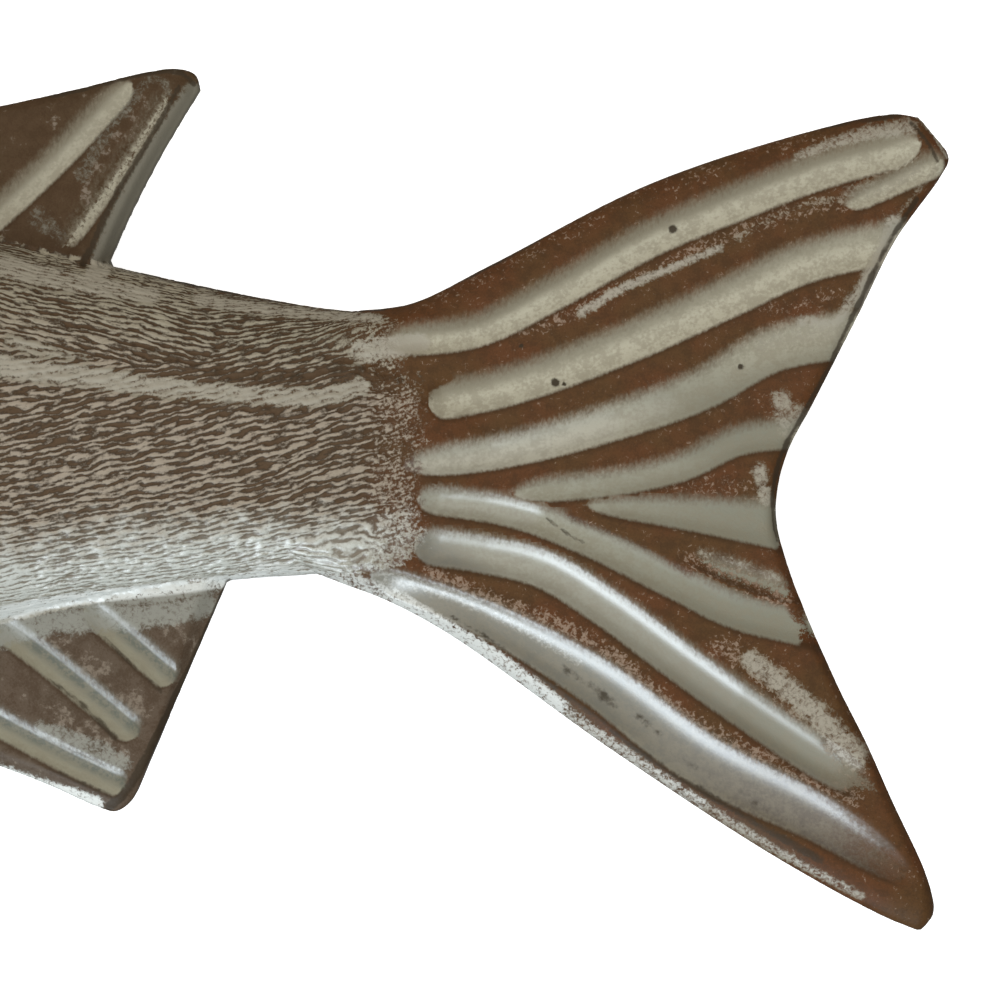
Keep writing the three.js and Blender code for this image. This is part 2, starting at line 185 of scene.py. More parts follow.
# Body: an oval section drawn through stations, x, back line, belly line, half thickness
bodySet = {
    "stations": [
        (-222, -0.8, -3.2, 1.2), (-219.5, 3.8, -7.2, 5), (-213, 9.2, -11.6, 8.8), (-202, 16.6, -17.4, 12.8),
        (-186, 26, -25.4, 16.4), (-166, 35.6, -34, 19.4), (-142, 41.8, -40.4, 21.4), (-116, 42.2, -41, 22),
        (-90, 37.4, -35.4, 20.4), (-66, 31, -27.6, 16.8), (-42, 25.4, -21.4, 12.2), (-21, 20.7, -17.7, 8.8),
        (-8, 18.3, -16.6, 6.8), (2, 16.8, -15.8, 5.1), (12, 12.2, -12.6, 3.7), (20, 5.5, -7.5, 2.2),
    ],
    "sides": 96,
    "rings": 220,
}


def bodySections(stations, perSpan=40):
    rows = np.array(stations, float)
    rows = np.vstack([rows[:1], rows, rows[-1:]])
    t = np.linspace(0, 1, perSpan, endpoint=False)[:, None]
    spans = []
    for i in range(len(stations) - 1):
        before, start, end, after = rows[i:i + 4]
        spans.append(hermite(start, end, (end - before) / 2, (after - start) / 2, t))
    return np.vstack([*spans, rows[-1:]])


sections = bodySections(bodySet["stations"])


def sectionAt(x):  # back line, belly line and half thickness at x
    return [np.interp(x, sections[:, 0], sections[:, k]) for k in (1, 2, 3)]


def makeBody(s):
    bpy.ops.mesh.primitive_uv_sphere_add(segments=s["sides"], ring_count=s["rings"], radius=1)
    body = bpy.context.object
    ball = readVectors(body.data.vertices, "co")
    share = np.arccos(np.clip(-ball[:, 2], -1, 1)) / math.pi
    x, back, belly, half = byIndex(sections, share).T
    radius = np.maximum(np.hypot(ball[:, 0], ball[:, 1]), 1e-6)
    across, out = ball[:, 0] / radius, ball[:, 1] / radius
    writePoints(body, np.column_stack([x, mix(belly, back, 0.5 + 0.5 * across), half * out]))
    return body


# Fins: a grid pulled up to a closed block, then shaped by its plan and its thickness. u runs to the rear and v
# downwards
finBorders = []


def drawBorder(planAt, count=240):  # the plan's outline, all the way round
    run = np.linspace(0, 1, count)
    ones = np.ones(count)
    sides = [planAt(run, 0 * ones), planAt(ones, run), planAt(run[::-1], ones), planAt(0 * ones, run[::-1])]
    return np.vstack([np.stack(side, axis=1) for side in sides])


def finBlock(s, planAt, halfAt, fitted=True):
    if fitted:
        finBorders.append(drawBorder(planAt))
    bpy.ops.mesh.primitive_grid_add(x_subdivisions=s["columns"], y_subdivisions=s["rows"], size=2)
    fin = bpy.context.object
    setMode("EDIT")
    bpy.ops.mesh.select_all(action="SELECT")
    bpy.ops.mesh.extrude_region_move(TRANSFORM_OT_translate={"value": (0, 0, 2)})
    bpy.ops.mesh.select_all(action="SELECT")
    bpy.ops.mesh.normals_make_consistent(inside=False)
    setMode("OBJECT")
    a, b, side = readVectors(fin.data.vertices, "co").T
    u, v = (a + 1) / 2, (1 - b) / 2
    x, y = planAt(u, v)
    writePoints(fin, np.column_stack([x, y, (side - 1) * halfAt(u, v, x)]))
    return fin


def rolled(distance, roll, cut):  # part of the full thickness left near a rounded edge
    short = np.maximum(0, 1 - distance / roll)
    return np.sqrt(1 - cut * short * short)


tailSet = {
    "upperEdge": [
        (-12, 15.6), (-3, 17.5), (5, 18.5), (15.5, 23.6), (36, 34.1), (57, 41), (67.5, 43.2), (70.9, 42.8),
    ],
    "lowerEdge": [
        (-12, -14.8), (-4, -17.6), (2, -19.9), (10.1, -24.3), (31, -39.2), (51.7, -52.8), (66.3, -60.9),
        (71.2, -62.9),
    ],
    "margin": [
        (70.9, 42.8), (72.8, 40.5), (74.9, 37.5), (73.9, 35.2), (68, 26.9), (62.8, 16.5), (57.4, 6),
        (53.6, -1.5), (52.4, -8.2), (53.7, -14.7), (60.1, -30.3), (64, -38.1), (67.5, -45.9), (72.2, -56.3),
        (72.9, -60.5), (71.2, -62.9),
    ],
    "thickness": [(-12, 5), (0, 4.3), (15, 3.1), (45, 2.4), (75, 1.8)],
    "length": 64.4, "leadingRoll": 4, "marginRoll": 1.6, "rollCut": 0.93, "columns": 190, "rows": 220,
}


def makeTail(s):
    upper, lower, margin = (smoothLine(s[key]) for key in ("upperEdge", "lowerEdge", "margin"))
    top, bottom = margin[0], margin[-1]
    shares = (top[1] - margin[:, 1]) / (top[1] - bottom[1])

    def planAt(u, v):
        a, b = byLength(upper, u), byLength(lower, u)
        fork = np.interp(v, shares, margin[:, 0]) - mix(top[0], bottom[0], v)
        return mix(a[:, 0], b[:, 0], v) + u * fork, mix(a[:, 1], b[:, 1], v)

    def halfAt(u, v, x):
        width = byLength(upper, u)[:, 1] - byLength(lower, u)[:, 1]
        leading = rolled(width * np.minimum(v, 1 - v), s["leadingRoll"], s["rollCut"])
        trailing = rolled(s["length"] * (1 - u), s["marginRoll"], s["rollCut"])
        return table(s["thickness"], x) * np.minimum(leading, trailing)

    return finBlock(s, planAt, halfAt)


def rayPlan(rays, rootLine, tipsAbove):
    rays = np.array(rays, float)
    roots = smoothLine(np.column_stack([rays[:, 0], rootLine(rays[:, 0])]))
    tips = smoothLine(rays[:, 1:])

    def planAt(u, v):
        outward = (1 - v if tipsAbove else v)[:, None]
        return mix(byIndex(roots, u), byIndex(tips, u), outward)

    return planAt


dorsalSet = {  # rays from front to rear: root x, tip x, tip y
    "rays": [
        (-167, -167.5, 33), (-161, -156, 50), (-146, -137, 58.5), (-128, -116, 57), (-108, -94, 49.2),
        (-90, -73, 43), (-72, -55, 43.2), (-56, -38.5, 46.4), (-46, -30, 48.5), (-40, -25.2, 49.1),
        (-37.2, -22.9, 48.3), (-35.6, -22.3, 46.3),
    ],
    "buried": 4, "bow": 0.95, "spines": 9, "spinyPart": 0.52, "spinyFade": 0.08, "scallop": 2.2,
    "bevelFrom": 0.91, "root": 2.5, "tip": 1.3, "web": 0.75, "rim": 0.7, "rimPart": 0.09,
    "columns": 320, "rows": 70,
}


def makeDorsal(s):
    plan = rayPlan(s["rays"], lambda x: sectionAt(x)[0] - s["buried"], True)

    def webAt(u):
        spiny = 1 - smooth(u, s["spinyPart"] - s["spinyFade"], s["spinyPart"])
        return spiny * (1 - np.abs(np.cos(math.pi * s["spines"] * u / s["spinyPart"])))

    def planAt(u, v):
        points = plan(u, v)
        return points[:, 0] - s["bow"] * 4 * v * (1 - v), points[:, 1] - s["scallop"] * webAt(u) * (1 - v)

    def halfAt(u, v, x):
        full = mix(mix(s["tip"], s["root"], v), s["web"] + v, webAt(u))
        edge = smooth(v, 0, s["rimPart"]) * (1 - smooth(u, s["bevelFrom"], 1))
        return mix(np.minimum(s["rim"], full), full, edge)

    return finBlock(s, planAt, halfAt)


analSet = {
    "rays": [
        (-80, -78.5, -30), (-70, -64, -35.6), (-58, -51, -40.4), (-46, -41.9, -43.9), (-36, -35.4, -46.8),
        (-30, -33.2, -47.3), (-23, -31.2, -45.9), (-17, -28.8, -40.7),
    ],
    "buried": 4, "bevel": 0.1, "root": 2.6, "tip": 1.5, "rim": 0.7, "columns": 130, "rows": 70,
}


def makeAnal(s):
    plan = rayPlan(s["rays"], lambda x: sectionAt(x)[1] + s["buried"], False)

    def halfAt(u, v, x):
        tipEdge = 1 - smooth(v, 1 - s["bevel"], 1)
        sideEdges = smooth(u, 0, s["bevel"]) * (1 - smooth(u, 1 - s["bevel"], 1))
        return mix(s["rim"], mix(s["root"], s["tip"], v), tipEdge * sideEdges)

    def planAt(u, v):
        return plan(u, v).T

    return finBlock(s, planAt, halfAt)


pelvicSet = {
    "root": (-140, -35, 7), "length": 36, "width": 14, "half": 1.7, "rimShare": 0.4, "sweep": -0.62,
    "lean": 0.2, "roundness": 2.6, "blunt": 0.12, "narrowing": 0.35, "columns": 50, "rows": 24,
}


def makePelvic(s, flank):
    def planAt(u, v):
        oval = np.sqrt(np.maximum(0, 1 - np.abs(2 * u - 1) ** s["roundness"]))
        width = s["width"] * np.maximum(s["blunt"], oval) * (1 - s["narrowing"] * u)
        return u * s["length"], (0.5 - v) * width

    def halfAt(u, v, x):
        return s["half"] * mix(s["rimShare"], 1, np.sin(math.pi * v)) * (1 - s["narrowing"] * u)

    def turned(a, b, angle):
        return a * math.cos(angle) - b * math.sin(angle), a * math.sin(angle) + b * math.cos(angle)

    fin = finBlock(s, planAt, halfAt, fitted=False)
    x, y, z = readPoints(fin).T
    x, y = turned(x, y, s["sweep"])
    y, z = turned(y, z, s["lean"])
    points = np.column_stack([x, y, z]) + s["root"]
    writePoints(fin, points * (1, 1, flank))
    if flank < 0:
        fin.data.flip_normals()
    return fin


eyeSet = {"x": -192.5, "y": 10.8, "radius": 4.8, "sunk": 2.2, "ring": 5.6, "segments": 40, "rings": 24}


def bodyHeight(x, y):  # height of the flank over the middle plane
    back, belly, half = sectionAt(x)
    across = (2 * y - back - belly) / (back - belly)
    return half * np.sqrt(np.maximum(0, 1 - across * across))


def makeEye(s, flank):
    x, y = s["x"], s["y"]
    slopeX = (bodyHeight(x + 1, y) - bodyHeight(x - 1, y)) / 2
    slopeY = (bodyHeight(x, y + 1) - bodyHeight(x, y - 1)) / 2
    outward = np.array([-slopeX, -slopeY, 1])
    middle = np.array([x, y, bodyHeight(x, y)]) - outward / np.linalg.norm(outward) * s["sunk"]
    bpy.ops.mesh.primitive_uv_sphere_add(segments=s["segments"], ring_count=s["rings"], radius=s["radius"] * mm)
    eye = bpy.context.object
    ball = readVectors(eye.data.vertices, "co")
    writePoints(eye, ball / mm + middle * (1, 1, flank))
    return eye


# Lines drawn on the flank, and how points lie to them
def nearLine(points, line):  # distance, side and share of the way along for points near a line
    start, step = line[:-1], np.diff(line, axis=0)
    length = np.maximum(np.linalg.norm(step, axis=1), 1e-9)
    run = np.concatenate([[0], np.cumsum(length)])
    away = points[:, None, :] - start[None]
    share = np.clip((away * step).sum(axis=2) / length ** 2, 0, 1)
    away = away - share[..., None] * step
    distance = np.linalg.norm(away, axis=2)
    best = distance.argmin(axis=1)
    rows = np.arange(len(points))
    side = step[best, 0] * away[rows, best, 1] - step[best, 1] * away[rows, best, 0]
    along = (run[best] + share[rows, best] * length[best]) / run[-1]
    return distance[rows, best], np.sign(side), along, run[-1]


def closeTo(points, line, reach):  # which points are in the box round a line
    low, high = line.min(axis=0) - reach, line.max(axis=0) + reach
    return np.flatnonzero(((points[:, :2] > low) & (points[:, :2] < high)).all(axis=1))


def insideBy(points, outline):  # distance inside a closed outline, negative outside it
    (x0, y0), (x1, y1) = outline[:-1].T, outline[1:].T
    x, y = points[:, 0, None], points[:, 1, None]
    level = np.where(y1 == y0, 1e-9, y1 - y0)
    hits = ((y0 > y) != (y1 > y)) & (x < x0 + (y - y0) / level * (x1 - x0))
    return nearLine(points, outline)[0] * np.where(hits.sum(axis=1) % 2, 1, -1)


def acrossBody(points):  # 1 on the back line, -1 on the belly line
    back, belly, _ = sectionAt(points[:, 0])
    return (2 * points[:, 1] - back - belly) / (back - belly)


# Flutes: centre line from the root out, half width at both ends and what it gains between them, depth, and the
# lengths over which the gouge goes in and comes out
tailFlutes = [
    ([(2, 13.4), (13.4, 14.8), (23.4, 19.6), (36.1, 26.7), (49.1, 32.2), (58, 35.6), (71, 39.3)],
     (1.9, 2.4), 0.9, 5, 4),
    ([(7.4, 5.4), (18.5, 7.9), (33.4, 13.4), (46.2, 19.2), (56, 23.7), (68, 26.6)],
     (2.3, 2.6), 0.95, 2.4, 0),
    ([(4.2, -2.6), (18.5, -0.4), (33.4, 3.8), (43, 7.4), (52, 12.4), (62.5, 14.6)],
     (1.8, 2.9), 0.9, 8, 0),
    ([(6, -6.7), (18.5, -8.6), (28.3, -12.2), (40, -17.9), (47, -21.2), (58, -23.8)],
     (1.7, 2.4), 0.9, 3, 0),
    ([(5.6, -12.7), (13.5, -13.8), (22, -15.8), (30, -20.6), (42.8, -30), (58.8, -40.8), (66, -44.8)],
     (2.3, 2.6), 1, 3, 9),
    ([(0, -16.6), (13.4, -21.7), (28.3, -29.9), (42.8, -40.6), (58.8, -48.7), (70.5, -56.4)],
     (1.6, 2, 1.5), 1.1, 4, 9),
]
nearTailFlutes = [  # on the near flank alone
    ([(61.5, 31.2), (72.6, 36.4)], (1.3, 1.6), 0.6, 3, 0),
    ([(18.5, -6.1), (33.4, -4.4), (41, -2.4), (47.5, 0.7), (56.5, 1.8)], (1.4, 1.9), 0.7, 6, 0),
    ([(28, -7.6), (40, -8.6), (54, -10.4)], (1, 3.1), 0.8, 7, 0),
    ([(41, -14), (54, -18.8)], (1.2, 1.6), 0.5, 5, 0),
]
dorsalFlutes = [
    ([(-78, 37), (-67, 42)], (1.4, 1.6), 0.5, 3, 0),
    ([(-64, 33.6), (-53, 41.6)], (1.4, 1.5), 0.6, 3, 3),
    ([(-51, 27.5), (-41.6, 36.2), (-31.2, 47.2)], (1.7, 1.6), 0.6, 3, 3),
    ([(-40, 25.4), (-33.4, 34.6), (-25.9, 46.4)], (1.2, 1), 0.55, 4, 3),
]
analFlutes = [
    ([(-37, -20.5), (-31.6, -25.2), (-25.6, -30.4)], (1.7, 1.8), 0.7, 3, 1.5),
    ([(-49, -22.5), (-41.9, -27.8), (-37.3, -31.6), (-30.4, -37.4)], (1.7, 1.8), 0.7, 3, 1.5),
    ([(-53, -33.3), (-41.9, -39.3), (-37.3, -41.6), (-32, -44.1)], (1.6, 1.7), 0.7, 3, 1.5),
    ([(-69, -29.3), (-57.5, -36)], (1.2, 1.3), 0.6, 3, 3),
]

# Head and flanks: low forms inside outlines, with how far they stand out, and the grooves beside them
flankSet = {
    "gill": [(-196, 6), (-182, 20), (-168, 24), (-158, 14), (-154, 1), (-157, -12), (-168, -24), (-182, -20)],
    "gillRise": [(-196, 0), (-184, 0.4), (-154, 1.7)],
    "pectoral": [
        (-160, -6), (-146, -3), (-126, -7), (-108, -15), (-117, -20), (-136, -22), (-152, -20), (-160, -17),
    ],
    "pectoralRise": [(-160, 1), (-140, 1.8), (-104, 2.6)],
    "pectoralRays": 4, "rayRoot": ((-151, -6), (-151, -18)), "rayTip": ((-112, -11.5), (-120, -20.5)),
    "softStep": 1.0,
}


def eyeRing(s, count=25):
    turns = np.linspace(0, 2 * math.pi, count)
    return [(s["x"] + s["ring"] * math.cos(turn), s["y"] + s["ring"] * math.sin(turn)) for turn in turns]


headGrooves = [
    ([(-178, 22.5), (-166, 22), (-157, 13), (-153, 1), (-156, -12.5), (-167, -24), (-179, -22)],
     (0.9, 0.9), 1, 5, 5),
    ([(-224, -2.2), (-213, -3.4), (-202, -6.2), (-192, -11.2)], (0.8, 0.8), 1.4, 0, 5),
    (eyeRing(eyeSet), (0.8, 0.8), 0.8, 0, 0),
]
pectoralFlutes = [
    ([mix(*np.array(flankSet["rayRoot"], float), share), mix(*np.array(flankSet["rayTip"], float), share)],
     (1, 1.7), 0.7, 4, 0)
    for share in np.linspace(0, 1, flankSet["pectoralRays"])
]
fluteSet = {"reach": 4.0, "softEdge": 0.25, "softRest": 0.03, "swellSkew": 1.3, "steep": (0.1, 0.6)}


def fluteField(points, flutes, s):  # depth of the cut, distance past its edge, and place across it
    depth, edge, side = np.zeros(len(points)), np.full(len(points), s["reach"]), np.zeros(len(points))
    for line, wide, deep, goIn, goOut in flutes:
        drawn = smoothLine(line, 10)
        close = closeTo(points, drawn, s["reach"])
        if not len(close):
            continue
        distance, hand, along, length = nearLine(points[close], drawn)
        half = mix(wide[0], wide[1], along) + sum(wide[2:]) * np.sin(math.pi * along ** s["swellSkew"])
        radius = (half ** 2 + deep ** 2) / (2 * deep)
        going = np.sin(math.pi / 2 * np.minimum(1, along * length / goIn)) if goIn else 1
        coming = np.sin(math.pi / 2 * np.minimum(1, (1 - along) * length / goOut)) if goOut else 1
        full = deep * np.minimum(going, coming)
        cut = full - radius + np.sqrt(np.maximum(radius ** 2 - distance ** 2, 0))
        soft = (cut + np.sqrt(cut ** 2 + s["softEdge"] ** 2)) / 2 - s["softEdge"] * s["softRest"]
        depth[close] = np.maximum(depth[close], soft)
        past = distance - np.sqrt(np.maximum(2 * radius * full - full ** 2, 0))
        side[close] = np.where(past < edge[close], hand * distance / half, side[close])
        edge[close] = np.minimum(edge[close], past)
    return depth, edge, side


def flutesOnBoth(points, near):  # the same for both flanks; the far one is plainer
    flutes = [*tailFlutes, *dorsalFlutes, *analFlutes, *headGrooves, *pectoralFlutes]
    depth, edge, side = (np.zeros(len(points)) for _ in range(3))
    for flank, cuts in ((near, [*flutes, *nearTailFlutes]), (~near, flutes)):
        depth[flank], edge[flank], side[flank] = fluteField(points[flank, :2], cuts, fluteSet)
    return depth, edge, side


# The whole form: joined, given an even skin, made finer where it is seen closely, and fitted to the exact form
skinSet = {
    "grid": 0.9, "nearX": -47.0, "nearTilt": -0.2, "bodyEnd": 9.0, "offBody": 1.05, "rimTilt": 0.5,
    "rimReach": 1.3, "detailReach": 2.5, "eyeReach": 7.0, "triangles": 196000,
}


def faceCentres(thing):
    return (readVectors(thing.data.polygons, "center") - wrist) / mm


def divideFaces(thing, chosen, cuts):
    pick(thing)
    setMode("EDIT")
    bpy.ops.mesh.select_mode(type="FACE")
    bpy.ops.mesh.select_all(action="DESELECT")
    setMode("OBJECT")
    thing.data.polygons.foreach_set("select", chosen)
    setMode("EDIT")
    bpy.ops.mesh.subdivide(number_cuts=cuts)
    setMode("OBJECT")


def seenClosely(thing, s, body):
    at, out = faceCentres(thing), readVectors(thing.data.polygons, "normal")
    onBody = (np.abs(acrossBody(at)) < 1) & (at[:, 0] < s["bodyEnd"])
    return (at[:, 0] > s["nearX"]) & (out[:, 2] > s["nearTilt"]) & (onBody == body)


def headDetail(thing, s):
    at = faceCentres(thing)
    chosen = np.hypot(at[:, 0] - eyeSet["x"], at[:, 1] - eyeSet["y"]) < s["eyeReach"]
    outlines = [smoothLine([*flankSet[name], flankSet[name][0]], 8) for name in ("gill", "pectoral")]
    for line in [*outlines, *(smoothLine(one[0]) for one in [*headGrooves[:2], *pectoralFlutes])]:
        close = closeTo(at, line, s["detailReach"])
        chosen[close] |= nearLine(at[close, :2], line)[0] < s["detailReach"]
    return chosen


def fitRims(thing, s):  # the thin edges of the fins go out to their drawn outline
    points, out = readPoints(thing), vertexNormals(thing)
    free = (np.abs(acrossBody(points)) > s["offBody"]) | (points[:, 0] > s["bodyEnd"])
    for border in finBorders:
        rim = closeTo(points, border, s["rimReach"])
        rim = rim[free[rim] & (np.abs(out[rim, 2]) < s["rimTilt"])]
        drawn = byLength(border, np.linspace(0, 1, 3 * len(border)))
        gaps = np.linalg.norm(points[rim, None, :2] - drawn[None], axis=2)
        best = gaps.argmin(axis=1)
        reached = gaps[np.arange(len(rim)), best] < s["rimReach"]
        points[rim[reached], :2] = drawn[best[reached]]
    writePoints(thing, points)


def makeSkin(s):
    pick(
        makeBody(bodySet), makeTail(tailSet), makeDorsal(dorsalSet), makeAnal(analSet),
        makePelvic(pelvicSet, 1), makePelvic(pelvicSet, -1), makeEye(eyeSet, 1), makeEye(eyeSet, -1),
    )
    bpy.ops.object.join()
    exact = bpy.context.object
    fish = exact.copy()
    fish.data = exact.data.copy()
    fish.name = "limed_fish"
    bpy.context.collection.objects.link(fish)
    pick(fish)
    fish.data.remesh_voxel_size = s["grid"] * mm
    bpy.ops.object.voxel_remesh()
    divideFaces(fish, headDetail(fish, s), 1)
    divideFaces(fish, seenClosely(fish, s, False), 1)
    divideFaces(fish, seenClosely(fish, s, True), 2)
    applyModifier(fish, "SHRINKWRAP", target=exact, wrap_method="NEAREST_SURFACEPOINT")
    bpy.data.objects.remove(exact, do_unlink=True)
    fitRims(fish, s)
    bpy.ops.object.shade_smooth()
    return fish


fish = makeSkin(skinSet)
print("form fitted,", triangleCount(fish), "triangles")


def raiseForms(thing, s):
    points = readPoints(thing)
    onBody = np.abs(acrossBody(points)) < 1
    for name in ("gill", "pectoral"):
        line = smoothLine([*s[name], s[name][0]], 8)
        close = closeTo(points, line, s["softStep"])
        close = close[onBody[close]]
        inside = smooth(insideBy(points[close, :2], line), -s["softStep"] / 2, s["softStep"] / 2)
        half = sectionAt(points[close, 0])[2]
        points[close, 2] *= 1 + inside * table(s[name + "Rise"], points[close, 0]) / half
    writePoints(thing, points)


def cutFlutes(thing, s):
    points, out = readPoints(thing), vertexNormals(thing)
    depth = flutesOnBoth(points, out[:, 2] > 0)[0]
    points[:, 2] -= depth * np.sign(out[:, 2]) * smooth(np.abs(out[:, 2]), *s["steep"])
    points[:, 2] = np.maximum(points[:, 2], lyingFlank)  # the flat spot that it lies on
    writePoints(thing, points)


raiseForms(fish, flankSet)
cutFlutes(fish, fluteSet)
print("flutes cut")

# The stroked skin of the body: where it ends before the tail fin, y and x, and how its strokes run
flowSet = {
    "end": [(-18, -1), (-15.5, 4), (-12, 6), (0, 6), (6, 6.5), (9, 5), (12, 2.5), (16, 3), (19, 6)],
    "endFade": (-4, 4), "sideFade": (0.98, 1.03), "startX": -45.0, "slope": 0.17, "bend": 0.0016, "fade": 30.0,
    "backShift": 1.1, "topFrom": (0.3, 0.55), "topEnd": (-30, -12), "chaosFrom": (-9, -2),
    "reliefFrom": (-46, -43), "reliefTilt": (-0.15, 0),
}


def keepSkin(thing, s):  # where the strokes are and which way they run
    points, out = readPoints(thing), vertexNormals(thing)
    across, (x, y, z) = acrossBody(points), points.T
    back, belly, half = sectionAt(x)
    pastEnd = x - table(s["end"], y)
    skin = (1 - smooth(pastEnd, *s["endFade"])) * (1 - smooth(np.abs(across), *s["sideFade"]))
    turn = np.arctan2(np.abs(z) / half, across)
    girth = (back + belly) / 2 + (math.pi / 2 - turn) * (back - belly) / 2
    ahead, behind = np.maximum(x - s["startX"], 0), np.maximum(s["startX"] - x, 0)
    drift = ahead - s["fade"] * (1 - np.exp(-behind / s["fade"]))
    rising = girth - s["slope"] * drift - s["bend"] * ahead ** 2
    top = smooth(across, *s["topFrom"]) * (1 - smooth(x, *s["topEnd"]))
    chaos = smooth(pastEnd, *s["chaosFrom"])
    keepNumber(thing, "flow", np.column_stack([x, rising, girth - back * s["backShift"]]))
    keepNumber(thing, "turns", np.column_stack([top, chaos, across]))
    keepNumber(thing, "skin", skin)
    keepNumber(thing, "relief", skin * smooth(x, *s["reliefFrom"]) * smooth(out[:, 2], *s["reliefTilt"]))


# Soft marks: line, half width (two where its ends differ), strength. A list's first five are on both flanks
limeMarks = [
    ([(-150, 12), (-110, 16), (-68, 14), (-45.8, 9.9), (-35.4, 8.6), (-25, 7.3), (-14.6, 6.4), (-5.5, 6.4),
      (-1.3, 7.7)], (2.2, 1.5), 0.9),
    ([(-22, 18.9), (-14.6, 17.8), (-9.4, 17.3), (-3.5, 16.8), (1, 16.5)], (1.2, 0.8), 0.8),
    ([(-1, 12.2), (3, 12.9), (6.4, 13.4)], (2.2, 1.7), 0.85),
    ([(6.2, -21.1), (10.1, -23.4), (16.6, -27.8), (24.4, -33.7), (30.9, -38.4), (42.6, -46.2), (51.7, -51.9),
      (63.4, -58.2)], (1.4, 0.8), 0.6),
    ([(-45, 13), (-41.9, 12.3), (-36, 11.1)], (1.4, 0.8), 0.6),
    ([(-9.4, 13.3), (-4.2, 14.2), (3, 13.3)], (1.3, 1.8), 0.4),
    ([(-9.4, -17.3), (-3.5, -16), (1.7, -14.7), (4.9, -13.1)], (1.8, 2.2), 0.4),
    ([(-60, 26), (-46, 22.8), (-38, 21), (-28, 19.4)], (2.6, 1.4), 0.8),
    ([(49, -27.6), (55.6, -32.9), (62.6, -40)], (1.7, 2.5), 0.68),
    ([(27.2, 17.3), (32, 20.2), (36.1, 22), (45.2, 25.7)], (0.9, 0.65), 0.72),
    ([(47.2, 26.9), (51.7, 29.5), (58.2, 31.7), (62.1, 31.7)], 0.8, 0.45),
    ([(55.6, 16.2), (60.2, 16.2), (62.1, 19.1)], 1, 0.7),
    ([(50.4, 13.3), (55.6, 14.6), (60.8, 15)], (1.8, 2.1), 0.55),
    ([(63.4, 19.1), (66.7, 25.6), (67.7, 28.9)], (1.8, 1.6), 0.8),
    ([(62.1, 32.8), (66, 33.4), (70.6, 35.8)], (1.8, 1.6), 0.5),
    ([(53, 6.1), (54.3, 2.2), (55.6, 3.5)], (1.8, 2.6), 0.6),
    ([(50.2, -3), (51.1, -6.9)], 1.2, 0.7),
    ([(42.6, -13.7), (47.8, -15.3), (52.4, -17.3)], (1, 1.2), 0.5),
    ([(67.3, 28.9), (71.9, 34.7), (73.8, 36.7)], 0.5, 0.5),
    ([(-43, 29.5), (-40.3, 27.2)], (1.8, 1.3), 0.5),
    ([(-28.9, 47.5), (-27.3, 47.5), (-26, 45.8)], (0.8, 0.7), 0.5),
    ([(-23.2, 45.8), (-27.4, 39), (-31.2, 32.5), (-34.1, 26), (-35.6, 21)], (1.6, 1.7), 1),
    ([(-29.5, 47), (-31.7, 43.9), (-34.9, 39.8), (-37.4, 35)], (1, 1.2), 0.5),
    ([(-80, -31.5), (-60, -26), (-41.9, -20.8), (-34.1, -20), (-26.3, -19), (-19.5, -17.6)], 1.1, 0.8),
    ([(-78, -33.5), (-60, -28), (-41.9, -22.8), (-36.7, -22.4), (-28.9, -21.9), (-21.4, -20.5)], 2, 0.78),
    ([(-42.5, -36.6), (-37, -38.6), (-32.6, -40.8)], (1.4, 1.7), 0.66),
    ([(55, 37.4), (62, 40), (69.6, 41.4)], (0.8, 1.8), 0.62),
    ([(71.2, 42.6), (72.9, 40.3), (74.6, 37.6)], 0.35, 0.75),
]
